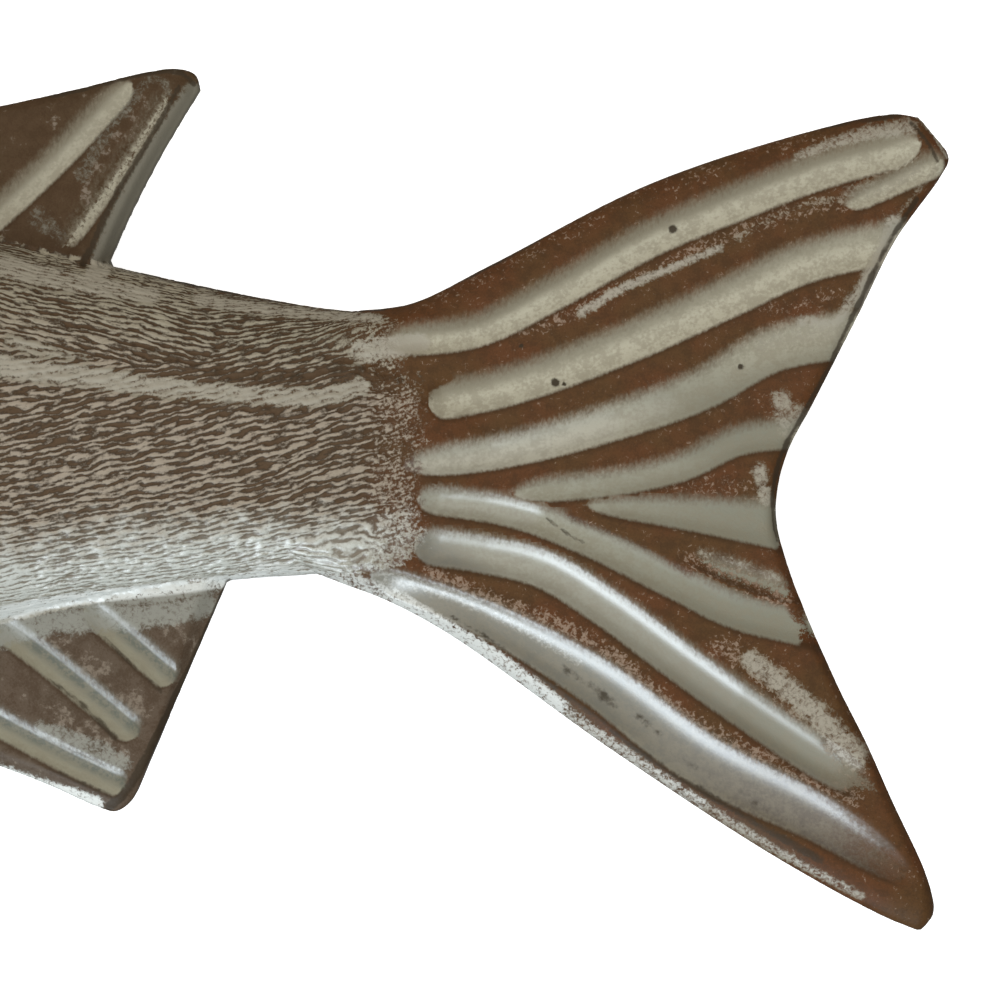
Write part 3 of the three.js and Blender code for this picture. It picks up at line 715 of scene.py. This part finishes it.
# Dark marks: mostly painted shade along edges and walls turned from the light (the back, the fins' upper and
# trailing edges, below the flutes, the wrist); a few are real smudges in the lowest flute and a crack
shadeAndDirtMarks = [
    ([(-34.7, 23.9), (-22.4, 20.9), (-9.4, 18.7), (-0.3, 17.7), (4.9, 18.4)], 0.3, 0.6),
    ([(4.9, 18.5), (16.6, 24.1), (29.6, 31.5), (42.6, 36.9), (55.6, 41), (68.6, 43)], (0.4, 0.5), 0.6),
    ([(10.1, -21.7), (16.6, -25.7), (24.4, -31.6), (30.9, -36.3), (36.1, -40.3), (42.6, -44.3), (51.7, -49.7),
      (58.2, -53.4)], (0.35, 0.7), 0.5),
    ([(-18.5, -17.6), (-24.6, -30.9), (-31.8, -44.6), (-34.1, -46.7)], (0.55, 0.65), 0.9),
    ([(70.6, 32.1), (67.3, 26.9), (63.4, 19.1), (59.5, 10.7), (55.6, 3.5), (52.8, -1.7), (52, -6.9),
      (52.8, -12.1)], 0.45, 0.75),
    ([(69.9, 42), (71.6, 39.9), (73.3, 37.1)], 0.35, 0.8),
    ([(-25, 46.6), (-28.9, 39.6), (-32.8, 33), (-36, 26.2), (-37.2, 23.6)], (0.42, 0.55), 0.85),
    ([(-41.9, 45.4), (-35.4, 46.9), (-28.9, 48.5), (-25, 48.6), (-23.1, 47.1)], 0.4, 0.7),
    ([(-31.5, 13.3), (-25, 11.1), (-18.5, 9), (-10.7, 8.7), (-2.9, 9.8), (3.6, 8.7)], (0.8, 1), 0.35),
    ([(-22.4, 5.7), (-15.9, 5.1), (-9.4, 4.5), (-2.9, 5.6)], 0.7, 0.3),
    ([(4.3, 10), (7.5, 7.4), (6.9, 3.5), (4.9, 0.9), (5.6, -4.3), (7.5, -8.2)], 1.3, 0.25),
    ([(-34.6, -24.6), (-30.8, -28.4), (-27.3, -31.6)], (0.3, 0.5), 0.6),
    ([(-41.8, -30), (-37.3, -33.5), (-33, -37.8)], (0.3, 0.5), 0.6),
    ([(-41.8, -41.7), (-37.3, -43.7), (-34, -45.2)], (0.4, 0.5), 0.6),
    ([(30.9, -36.6), (36.1, -40.5), (42.6, -44.5), (51.7, -49.9), (58.2, -53.6)], (0.3, 0.6), 0.66),
    ([(24.8, -28.6), (28.3, -30.9), (31.6, -33.5)], (0.7, 0.8), 0.5),
    ([(34.4, -34.9), (37.4, -37.3)], (0.6, 0.7), 0.45),
    ([(40, -40.4), (50, -46.2), (60, -51.2)], (0.8, 1), 0.24),
    ([(22.6, -9.2), (25.6, -11.4), (27.5, -12.4)], 0.3, 0.6),
]
bareMarks = [
    ([(55.6, -14.7), (54.6, -19.9), (59.9, -30.3), (65.1, -40.7), (69.7, -51.1), (72.2, -57.6)],
     (0.9, 1.9), 1),
    ([(6.4, 4.6), (6.7, 7.4), (9.8, 8.8)], (0.9, 0.6), 1),
    ([(66, -52), (70.5, -56)], (0.4, 2), 0.5),
    ([(53.3, -10.8), (53.7, -14.7), (55.6, -19.9)], (0.7, 0.9), 0.8),
    ([(40, -13.2), (47, -16), (53, -18.6)], (1.2, 2), 0.5),
    ([(60, -39), (64, -43.5)], (2, 2.6), 0.6),
    ([(26, -9), (36, -12.5), (41, -16)], (0.8, 1), 0.4),
    ([(-41, 25), (-34, 34.5), (-26.5, 46)], (1.2, 1), 0.42),
]
fleckMarks = [
    ([(8.8, 19.1), (16.6, 23), (32.2, 31.5), (42.6, 35.4), (50.4, 38.6), (59.5, 39.9)], (1.3, 1.2), 0.35),
    ([(14, 13.9), (24.4, 16.5), (34.8, 21.8), (45.2, 26.8), (55.6, 30.8), (63.4, 31.5)], (0.9, 1.2), 0.75),
    ([(7.5, -16), (16.6, -19.9), (24.4, -23.1), (30.9, -26.4), (40, -34.8), (47.8, -38.7), (55.6, -42.6),
      (62.1, -45.2)], (1, 1.4), 0.9),
    ([(50.4, 17.8), (55.6, 18.5), (59.5, 19.8)], 1, 0.5),
    ([(34.8, 3.5), (42.6, 4.8), (50.4, 6.8)], 1, 0.3),
    ([(38, -4.9), (44, -4.9), (49.8, -5.6)], (1.3, 1.8), 0.5),
    ([(45.2, -25.7), (50.4, -29), (55.6, -34.2), (60.8, -40.7)], (1.8, 2.9), 0.8),
    ([(41.3, -14.7), (47.8, -17.3), (53, -19.9)], (1.6, 1.8), 0.7),
    ([(-37, 32), (-34.1, 38.6), (-28.9, 45.1)], (1.3, 1.6), 0.5),
    ([(-41.6, 43.8), (-40.6, 41.2)], (1.3, 1), 0.35),
    ([(-41.5, -25.1), (-36.5, -28.6), (-30, -34)], (1.6, 1.8), 0.6),
    ([(-41.5, -33.5), (-37, -36.7), (-32.6, -39.8)], 1.5, 0.7),
    ([(-27.5, -23), (-23.7, -25.1)], 1.3, 0.6),
]
# the whitest rubbed lime, partly a painted sheen on the belly edge and the edges facing the light
chalkAndSheenMarks = [  # where it is rubbed whitest
    ([(3, -19.4), (16.6, -27.8), (24.4, -33.7)], (1.5, 1.4), 0.78),
    ([(24.4, -33.7), (30.9, -38.4), (42.6, -46.2)], (1.3, 1.1), 0.52),
    ([(42.6, -46.2), (51.7, -51.9), (62, -57.4)], (1, 0.7), 0.34),
    ([(-14, -16.4), (-6, -17.2), (0, -18.4), (4, -20)], (2.2, 1.6), 0.66),
    ([(-9.4, -16), (-3.5, -14.5), (1.7, -13.4)], 2, 0.3),
    ([(1.5, -16.8), (9, -18.9), (17, -22.2), (27, -28)], (1.5, 0.8), 0.46),
    ([(-70, -36), (-50, -41.5), (-41.9, -44.2), (-38, -45.2), (-35.5, -46.2)], (1.5, 1), 0.8),
    ([(-60, -24.5), (-41.9, -20.2), (-26.3, -18.3), (-14, -16.8)], 1, 0.9),
]
glossMarks = [  # where the lime is worn to a shine
    ([(-2, -16), (13.4, -20.5), (28.3, -28.6), (42.8, -39.2), (58.8, -47.5), (66, -53)], (4, 3.4), 1),
    ([(5.6, -12.5), (13.5, -13.4), (22, -15.4), (30, -19.8), (38, -25.8)], 3, 0.84),
    ([(36, -24), (46, -32)], 3, 0.55),
    ([(4, -6.4), (10, -6.4)], (3, 2.4), 0.8), ([(10, -6.4), (20, -8.4)], (2.6, 2.4), 0.5),
    ([(-49, -22.5), (-41.9, -27.8), (-30.4, -37.4)], 3, 1),
    ([(-37, -20.5), (-31.6, -25.2), (-25.6, -30.4)], 3, 1),
    ([(-53, -33.3), (-41.9, -39.3), (-32, -44.1)], 3, 1),
    ([(4, -2.5), (12, -1)], 3, 1), ([(12, -1), (22, 1)], 3, 0.85),
    ([(22, 1), (30, 3)], 3, 0.6), ([(30, 3), (37, 5.4)], 3, 0.36),
    ([(46, -32), (60, -41)], (3, 1.6), 0.38),
]
markGroups = {"marks": (limeMarks, shadeAndDirtMarks, fleckMarks), "wearAndSheen": (bareMarks, glossMarks, chalkAndSheenMarks)}
markSet = {"core": 0.3, "fringe": 1.5, "bothFlanks": 5, "nearTilt": -0.3}


def markField(points, near, marks, s):
    field = np.zeros(len(points))
    for i, (line, wide, strength) in enumerate(marks):
        wide, drawn = np.atleast_1d(wide), smoothLine(line, 5)
        close = closeTo(points, drawn, s["fringe"] * max(wide))
        if i >= s["bothFlanks"]:
            close = close[near[close]]
        if len(close):
            distance, _, along, _ = nearLine(points[close, :2], drawn)
            share = 1 - smooth(distance / mix(wide[0], wide[-1], along), s["core"], s["fringe"])
            field[close] = np.maximum(field[close], strength * share)
    return field


def keepMarks(thing, groups, s):
    points, out = readPoints(thing), vertexNormals(thing)
    near = out[:, 2] > s["nearTilt"]
    edge, side = flutesOnBoth(points, out[:, 2] > 0)[1:]
    keepNumber(thing, "edge", edge)
    keepNumber(thing, "side", side)
    for name, group in groups.items():
        keepNumber(thing, name, np.column_stack([markField(points, near, marks, s) for marks in group]))


keepSkin(fish, flowSet)

# Materials
def fromPicture(colour):  # a colour of the picture as the renderer's own value
    def linear(value):
        value /= 255
        return value / 12.92 if value <= 0.04045 else ((value + 0.055) / 1.055) ** 2.4
    return (*map(linear, colour), 1)


class NodeMaker:  # adds nodes to a tree; a value is a number or another node's output
    def __init__(self, tree):
        self.tree = tree

    def add(self, kind, inputs, **settings):
        made = self.tree.nodes.new(kind)
        for key, value in settings.items():
            setattr(made, key, value)
        for key, value in inputs.items():
            if isinstance(value, bpy.types.NodeSocket):
                self.tree.links.new(value, made.inputs[key])
            else:
                made.inputs[key].default_value = value
        return made

    def out(self, kind, inputs, output=0, **settings):
        return self.add(kind, inputs, **settings).outputs[output]

    def calc(self, operation, *values):
        return self.out("ShaderNodeMath", dict(enumerate(values)), operation=operation)

    def plus(self, a, b):
        return self.calc("ADD", a, b)

    def minus(self, a, b):
        return self.calc("SUBTRACT", a, b)

    def times(self, a, b):
        return self.calc("MULTIPLY", a, b)

    def timesPlus(self, a, b, c):
        return self.calc("MULTIPLY_ADD", a, b, c)

    def larger(self, a, b):
        return self.calc("MAXIMUM", a, b)

    def swing(self, value, amount, base):  # base plus a noise centred on nought
        return self.timesPlus(self.minus(value, 0.5), amount, base)

    def ramp(self, value, low, high, start=0.0, end=1.0):
        inputs = {"Value": value, "From Min": low, "From Max": high, "To Min": start, "To Max": end}
        return self.out("ShaderNodeMapRange", inputs, "Result", interpolation_type="SMOOTHSTEP")

    def blend(self, factor, a, b):
        return self.out("ShaderNodeMix", {0: factor, 6: a, 7: b}, 2, data_type="RGBA")

    def vector(self, operation, a, b, output=0):
        second = "Scale" if operation == "SCALE" else 1
        return self.out("ShaderNodeVectorMath", {0: a, second: b}, output, operation=operation)

    def split(self, vector):
        return self.add("ShaderNodeSeparateXYZ", {0: vector}).outputs[:]

    def join(self, x, y):
        return self.out("ShaderNodeCombineXYZ", {0: x, 1: y})

    def noise(self, place, stretch, detail=2.0, roughness=0.5, distortion=0.0):
        return self.out("ShaderNodeTexNoise", {
            "Vector": self.vector("MULTIPLY", place, stretch), "Scale": 1.0,
            "Detail": detail, "Roughness": roughness, "Distortion": distortion,
        })


strokeSet = {  # a noise is its stretch along x, y and z, detail, roughness and distortion
    "pitch": 0.95, "wave": 0.25, "bend": 3.4, "wobble": 2.2, "wildWobble": 2.4, "breaks": 1.4, "small": 0.8,
    "level": -0.86, "wildPatches": 1.2, "wildFrom": (0.1, 1.0), "topPatches": 1.6, "topFrom": (0.4, 0.6),
    "topRise": 0.07, "reliefFrom": (0.0, 0.5), "depth": 0.22, "patchNoise": ((0.15, 0.15, 0),),
    "rowNoises": {
        "bend": ((0.045, 0.1, 0), 1.0), "wobble": ((0.32, 0.6, 0), 2.0, 0.55),
        "breaks": ((0.4, 0.8, 0), 2.0, 0.6), "small": ((0.9, 2.4, 0), 1.0),
    },
}


def strokeRow(n, along, across, wild, s):  # one set of wavy, broken lines, wilder near the tail
    spot = n.join(along, across)
    bend, wobble, breaks, small = (n.noise(spot, *one) for one in s["rowNoises"].values())
    phase = n.timesPlus(across, 1 / s["pitch"], n.times(bend, s["bend"]))
    phase = n.timesPlus(wobble, n.timesPlus(wild, s["wildWobble"], s["wobble"]), phase)
    wave = n.calc("SINE", n.times(phase, 2 * math.pi))
    height = n.timesPlus(breaks, s["breaks"], n.times(wave, s["wave"]))
    return n.plus(n.timesPlus(small, s["small"], height), s["level"])


def strokeHeight(n, flow, turns, s):  # near 0 between the strokes of the skin, above 0.4 on them
    along, rising, topLine = n.split(flow)
    top, chaos, _ = n.split(turns)
    patch = n.minus(n.noise(flow, *s["patchNoise"]), 0.5)
    wild = n.ramp(n.timesPlus(patch, s["wildPatches"], chaos), *s["wildFrom"])
    rows, topRows = (strokeRow(n, along, line, wild, s) for line in (rising, topLine))
    chosen = n.ramp(n.timesPlus(patch, s["topPatches"], top), *s["topFrom"])
    rows = n.timesPlus(n.minus(topRows, rows), chosen, rows)
    return n.timesPlus(top, s["topRise"], rows)


def cutStrokes(thing, s):  # relief by the same pattern that colours the strokes
    tree = bpy.data.node_groups.new("stroke_relief", "GeometryNodeTree")
    for way in ("INPUT", "OUTPUT"):
        tree.interface.new_socket("Geometry", in_out=way, socket_type="NodeSocketGeometry")
    n = NodeMaker(tree)

    def named(name, kind):
        return n.out("GeometryNodeInputNamedAttribute", {"Name": name}, "Attribute", data_type=kind)

    strokes = strokeHeight(n, named("flow", "FLOAT_VECTOR"), named("turns", "FLOAT_VECTOR"), s)
    height = n.minus(n.ramp(strokes, *s["reliefFrom"]), 1.0)
    amount = n.times(n.times(height, named("relief", "FLOAT")), s["depth"] * mm)
    offset = n.vector("SCALE", n.out("GeometryNodeInputNormal", {}), amount)
    source = n.out("NodeGroupInput", {})
    n.add("NodeGroupOutput", {0: n.out("GeometryNodeSetPosition", {"Geometry": source, "Offset": offset})})
    applyModifier(thing, "NODES", node_group=tree)


def thinUnseen(thing, s):  # fewer faces where the relief is low and the camera far
    points, out = readPoints(thing), vertexNormals(thing)
    group = thing.vertex_groups.new(name="unseen")
    close = (points[:, 0] > s["nearX"]) & (out[:, 2] > s["nearTilt"])
    group.add(np.flatnonzero(~close).tolist(), 1.0, "REPLACE")
    applyModifier(thing, "DECIMATE", vertex_group="unseen", ratio=s["triangles"] / triangleCount(thing))
    thing.vertex_groups.clear()


cutStrokes(fish, strokeSet)
thinUnseen(fish, skinSet)
keepMarks(fish, markGroups, markSet)
print("strokes cut,", triangleCount(fish), "triangles")

fishColours = {
    "brown": (84, 59, 34), "redBrown": (89, 56, 32), "deepBrown": (60, 43, 26), "darkShadeAndDirt": (54, 45, 33),
    "finBrown": (88, 77, 65), "dorsalBrown": (73, 58, 41), "fleck": (150, 130, 112),
    "finFleck": (130, 118, 104), "cream": (174, 169, 150), "thinLime": (130, 123, 105),
    "rootLime": (149, 147, 131), "lowLime": (128, 126, 111), "deepLime": (114, 112, 100),
    "tipLime": (99, 91, 80), "finLime": (121, 114, 98), "clearLime": (140, 136, 118),
    "shadeLime": (94, 95, 85), "washed": (134, 133, 123), "rubbed": (156, 150, 135),
    "finRubbed": (106, 102, 89), "chalkAndSheen": (211, 213, 208), "skinBrown": (84, 66, 48),
    "skinDark": (61, 49, 36), "skinTop": (153, 146, 128), "skinPale": (154, 142, 126),
    "skinBellyPaleAndSheen": (190, 192, 184),
}
finishSet = {
    "noises": {  # stretch along x, y and z, detail, roughness and distortion
        "fine": ((2.4, 2.4, 2.4), 3.0, 0.65), "grain": ((3.6, 3.6, 3.6), 2.0, 0.6),
        "middle": ((0.6, 0.6, 0.6),), "broad": ((0.12, 0.12, 0.12),), "feather": ((2.6, 1.3, 1.5), 3.0, 0.6),
        "worn": ((2.0, 2.0, 2.0), 3.0, 0.62, 0.6),
    },
    "pinholes": [(23.8, 8.3, 0.75), (39, 28.2, 0.7), (47.8, 10.4, 0.5), (24.9, 8.1, 0.4), (19.4, 13, 0.35)],
    "pinholeEdge": 0.5, "pinholeShare": 0.95, "roughness": 0.42, "ior": 1.4, "coatRoughness": 0.36,
    "coatIor": 1.9, "bumpHeight": 0.0002, "bumpStrength": 0.6,
}
toneZones = {  # where a tone turns: from and to, and the shares there when they aren't 0 and 1
    # by x and y
    "ahead": (-8, -16), "below": (2, -6), "belowMiddle": (0, -12), "tip": (26, 58), "lowAtTip": (0, -6),
    "limeRoot": (16, 50), "lowLobe": (-3, -8), "creamy": (-6, 4), "rootCreamAndHighlight": (46, 26, 0, 0.65),
    "aboveLow": (-5, -1.5), "greyerAboveArea": (-13, 4), "tipFade": (55, 69), "lowTip": (-38, -44, 0, 0.85),
    # by the place in a flute
    "upper": (-0.1, 0.6), "shade": (-0.6, 0.3), "inFlute": (1, -1), "underSide": (-0.6, -0.9),
    "underEdge": (0.9, 0.1, 0, 0.6), "lowOnFin": (0.8, 0.45),
    # by the place on the body
    "belly": (-0.4, -0.85), "bellyStrokes": (0, 1, 0.22, 0.08), "topPale": (0.3, 0.8),
    # by noise and marks
    "skinMask": (0.3, 0.7), "redPatches": (0.35, 0.65), "deepPatches": (0.25, 0.65, 0.5, 1),
    "flecks": (0.62, 0.8, 0, 0.75), "thinPatches": (0.7, 0.3, 0, 0.5), "strokeShade": (-0.1, 0.22),
    "strokes": (0.1, 0.6), "limed": (0.26, 0.82, 0, 0.92), "rubbed": (0.35, 0.75), "chalkAndSheen": (0.2, 0.8),
    "shadeAndDirt": (0.25, 0.7, 0, 0.8), "gloss": (0, 0.7, 0.1, 1), "specular": (0.3, 1, 0.15, 1),
    "coat": (0, 1, 0.02, 1),
}


def makeFishMaterial(colours, s, zones):
    material = bpy.data.materials.new("limed_resin")
    material.use_nodes = True
    material.node_tree.nodes.clear()
    n = NodeMaker(material.node_tree)
    c = {name: fromPicture(colour) for name, colour in colours.items()}

    blend, swing, times, timesPlus = n.blend, n.swing, n.times, n.timesPlus

    def attribute(name, output="Fac"):
        return n.out("ShaderNodeAttribute", {}, output, attribute_name=name)

    def zone(name, value):
        return n.ramp(value, *zones[name])

    def rest(share):
        return n.minus(1.0, share)

    place = n.vector("SCALE", n.out("ShaderNodeTexCoord", {}, "Object"), 1 / mm)
    edge, side = attribute("edge"), attribute("side")
    flow, turns = attribute("flow", "Vector"), attribute("turns", "Vector")
    limeMark, shadeAndDirtMark, fleckMark = n.split(attribute("marks", "Vector"))
    bare, gloss, chalkAndSheen = n.split(attribute("wearAndSheen", "Vector"))
    fine, grain, middle, broad, feather, worn = (n.noise(place, *one) for one in s["noises"].values())
    skinMask = zone("skinMask", n.swing(middle, 0.7, n.swing(worn, 1.2, attribute("skin"))))

    # bare ridges, deeper in places and greyer before the tail, with pale flecks
    x, y, _ = n.split(n.vector("SUBTRACT", place, tuple(wrist / mm)))
    brown = blend(zone("redPatches", broad), c["brown"], c["redBrown"])
    ahead = zone("ahead", x)
    aheadBrown = blend(zone("belowMiddle", y), c["dorsalBrown"], c["finBrown"])
    brown = blend(times(ahead, 0.85), brown, aheadBrown)
    brown = blend(zone("deepPatches", swing(grain, 0.9, middle)), c["deepBrown"], brown)
    spots = timesPlus(n.minus(middle, worn), times(ahead, 0.5), worn)
    flecks = zone("flecks", timesPlus(fleckMark, 0.22, swing(middle, 0.3, spots)))
    ridges = blend(flecks, brown, blend(ahead, c["fleck"], c["finFleck"]))

    # lime in the flutes, feathered above, with a crisp dark line below painted as shade on each flute's lower
    # wall; creamy on the upper lobe of the tail
    upper, below = zone("upper", side), zone("below", y)
    lowness = timesPlus(x, 0.7, y)
    lime = blend(zone("limeRoot", x), c["rootLime"], c["lowLime"])
    lime = blend(zone("lowLobe", lowness), lime, c["deepLime"])
    lime = blend(times(zone("tip", x), zone("lowAtTip", lowness)), lime, c["tipLime"])
    finLime = blend(zone("shade", side), c["clearLime"], c["shadeLime"])
    lime = blend(ahead, lime, blend(below, c["finLime"], finLime))
    creamy = times(rest(ahead), zone("creamy", timesPlus(x, -0.25, y)))
    # creamier at the root of the flute along the tail's middle, partly a painted highlight there
    creamy = n.larger(creamy, times(zone("rootCreamAndHighlight", x), zone("aboveLow", y)))
    # greyer towards each flute's upper side on the upper lobe, creamier towards its lower side
    greyerAbove = times(upper, zone("greyerAboveArea", timesPlus(x, -0.5, y)))
    lime = blend(creamy, lime, blend(greyerAbove, c["cream"], c["thinLime"]))
    lime = blend(zone("thinPatches", swing(fine, 1.0, middle)), lime, c["thinLime"])
    ragged = swing(feather, timesPlus(upper, 1.1, 0.5), edge)
    ragged = timesPlus(bare, swing(worn, 6.0, 2.0), ragged)
    inFlute = zone("inFlute", n.calc("DIVIDE", ragged, timesPlus(upper, 0.85, 0.3)))
    tipFade = times(zone("tipFade", swing(worn, 8.0, x)), zone("lowTip", y))
    inFlute = times(inFlute, rest(tipFade))
    # painted shade: deep brown on the lower wall of each flute, next to its edge
    lowerWallShade = times(zone("underSide", side), zone("underEdge", edge))
    fins = blend(inFlute, blend(lowerWallShade, ridges, c["deepBrown"]), lime)

    # strokes of the skin, greyer on the back, paler on the belly, partly a painted sheen there, and broken up
    # before the tail
    _, chaos, across = n.split(turns)
    strokes = swing(broad, 0.45, swing(grain, 0.5, strokeHeight(n, flow, turns, strokeSet)))
    specks = n.minus(swing(fine, 3.8, 0.3), strokes)
    strokes = timesPlus(specks, times(chaos, 0.55), strokes)
    # the belly's paler strokes and lighter grooves are partly a painted sheen
    belly = zone("belly", swing(middle, 0.5, across))
    strokes = timesPlus(belly, zone("bellyStrokes", chaos), strokes)
    strokes = timesPlus(shadeAndDirtMark, -0.6, strokes)
    pale = blend(zone("topPale", across), c["skinPale"], c["skinTop"])
    pale = blend(belly, pale, c["skinBellyPaleAndSheen"])
    ground = blend(zone("strokeShade", strokes), c["skinBrown"], c["skinDark"])
    ground = blend(times(belly, 0.45), ground, c["skinTop"])
    ground = blend(times(chaos, 0.8), ground, brown)
    colour = blend(skinMask, fins, blend(zone("strokes", strokes), ground, pale))

    # lime rubbed over skin and ridges, whitest where it is partly a painted sheen; painted shade in the
    # corners, along edges turned from the light and in the pinholes, with real dirt in places
    patchy = times(n.minus(worn, 0.5), n.plus(chalkAndSheen, 1.3))
    rubbed = swing(middle, 0.5, n.plus(patchy, n.larger(limeMark, chalkAndSheen)))
    streaks = times(n.minus(strokes, 0.3), times(skinMask, 0.7))
    limed = zone("limed", n.plus(rubbed, streaks))
    onFin = times(ahead, rest(skinMask))
    rubbedTone = blend(zone("rubbed", limeMark), c["thinLime"], c["rubbed"])
    rubbedTone = blend(onFin, rubbedTone, blend(below, c["finRubbed"], c["washed"]))
    # whitest lime, partly a painted sheen on the belly edge and the tail's lower edge
    colour = blend(limed, colour, blend(zone("chalkAndSheen", chalkAndSheen), rubbedTone, c["chalkAndSheen"]))
    # painted shade along edges turned from the light, with real dirt smudges in places
    shadeAndDirt = zone("shadeAndDirt", swing(middle, 1.0, swing(worn, 0.4, shadeAndDirtMark)))
    colour = blend(shadeAndDirt, colour, c["darkShadeAndDirt"])
    # painted shade: pinholes darkened where the mesh has no holes
    spot = n.join(x, y)
    for holeX, holeY, radius in s["pinholes"]:
        away = swing(fine, 0.5, n.vector("DISTANCE", spot, (holeX, holeY, 0), "Value"))
        hole = n.ramp(away, radius, radius * s["pinholeEdge"], 0.0, s["pinholeShare"])
        colour = blend(hole, colour, c["darkShadeAndDirt"])

    shine = times(inFlute, zone("gloss", gloss))
    lowOnFin = times(times(ahead, below), zone("lowOnFin", side))
    shine = n.larger(times(shine, rest(lowOnFin)), times(limed, 0.35))
    skinShine = times(skinMask, timesPlus(belly, 0.5, 0.12))
    glossy = times(n.larger(skinShine, shine), rest(shadeAndDirt))
    height = timesPlus(fine, 0.35, times(times(strokes, skinMask), 0.35))
    shader = n.out("ShaderNodeBsdfPrincipled", {
        "Base Color": colour, "Roughness": s["roughness"], "IOR": s["ior"],
        "Specular IOR Level": zone("specular", glossy), "Coat Weight": zone("coat", glossy),
        "Coat Roughness": s["coatRoughness"], "Coat IOR": s["coatIor"],
        "Normal": n.out("ShaderNodeBump", {
            "Height": height, "Distance": s["bumpHeight"], "Strength": s["bumpStrength"],
        }),
    })
    n.add("ShaderNodeOutputMaterial", {"Surface": shader})
    return material


fish.data.materials.clear()
fish.data.materials.append(makeFishMaterial(fishColours, finishSet, toneZones))
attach(fish, "root")
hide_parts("fish")
print("fish finished")

# Floor and light
studioSet = {
    "floorSize": 4.0, "floorGlow": 0.8, "paper": (0.85, 0.85, 0.85, 1), "paperRoughness": 0.9,
    "world": (1.0, 0.97, 0.92, 1), "worldStrength": 0.3, "target": (10, -5, 0),
    "lights": [  # place from the target, size, power, colour, and whether it shows in the shine
        ("window", (-0.268446, -0.60294, 0.52), 0.42, 5.0, (0.8, 0.91, 1.0), True),
        ("top_fill", (0.1, 0.1, 0.9), 0.6, 3.0, (1.0, 0.95, 0.88), False),
        ("back_fill", (-0.35, 0.45, 0.5), 0.5, 1.6, (1.0, 0.95, 0.88), False),
    ],
}


def makeStudio(s):
    bpy.ops.mesh.primitive_plane_add(size=s["floorSize"], location=(0, 0, cadBox[0].z))
    floor = bpy.context.object
    floor.name = "floor"
    paper = bpy.data.materials.new("pale_paper")
    paper.use_nodes = True
    shader = paper.node_tree.nodes["Principled BSDF"]
    shader.inputs["Base Color"].default_value = s["paper"]
    shader.inputs["Roughness"].default_value = s["paperRoughness"]
    shader.inputs["Emission Color"].default_value = (1, 1, 1, 1)
    shader.inputs["Emission Strength"].default_value = s["floorGlow"]
    floor.data.materials.append(paper)
    floor.visible_diffuse = False
    floor.visible_glossy = False

    world = bpy.data.worlds.new("studio")
    world.use_nodes = True
    sky = world.node_tree.nodes["Background"]
    sky.inputs["Color"].default_value = s["world"]
    sky.inputs["Strength"].default_value = s["worldStrength"]
    bpy.context.scene.world = world

    target = wrist + np.array(s["target"]) * mm
    for name, place, size, power, colour, glossy in s["lights"]:
        bpy.ops.object.light_add(type="AREA", location=target + place)
        light = bpy.context.object
        light.name = name
        light.data.size, light.data.energy, light.data.color = size, power, colour
        light.visible_glossy = glossy
        light.rotation_euler = Vector(place).to_track_quat("Z", "Y").to_euler()
    bpy.context.scene.view_settings.view_transform = "Standard"


makeStudio(studioSet)
print("studio lit")
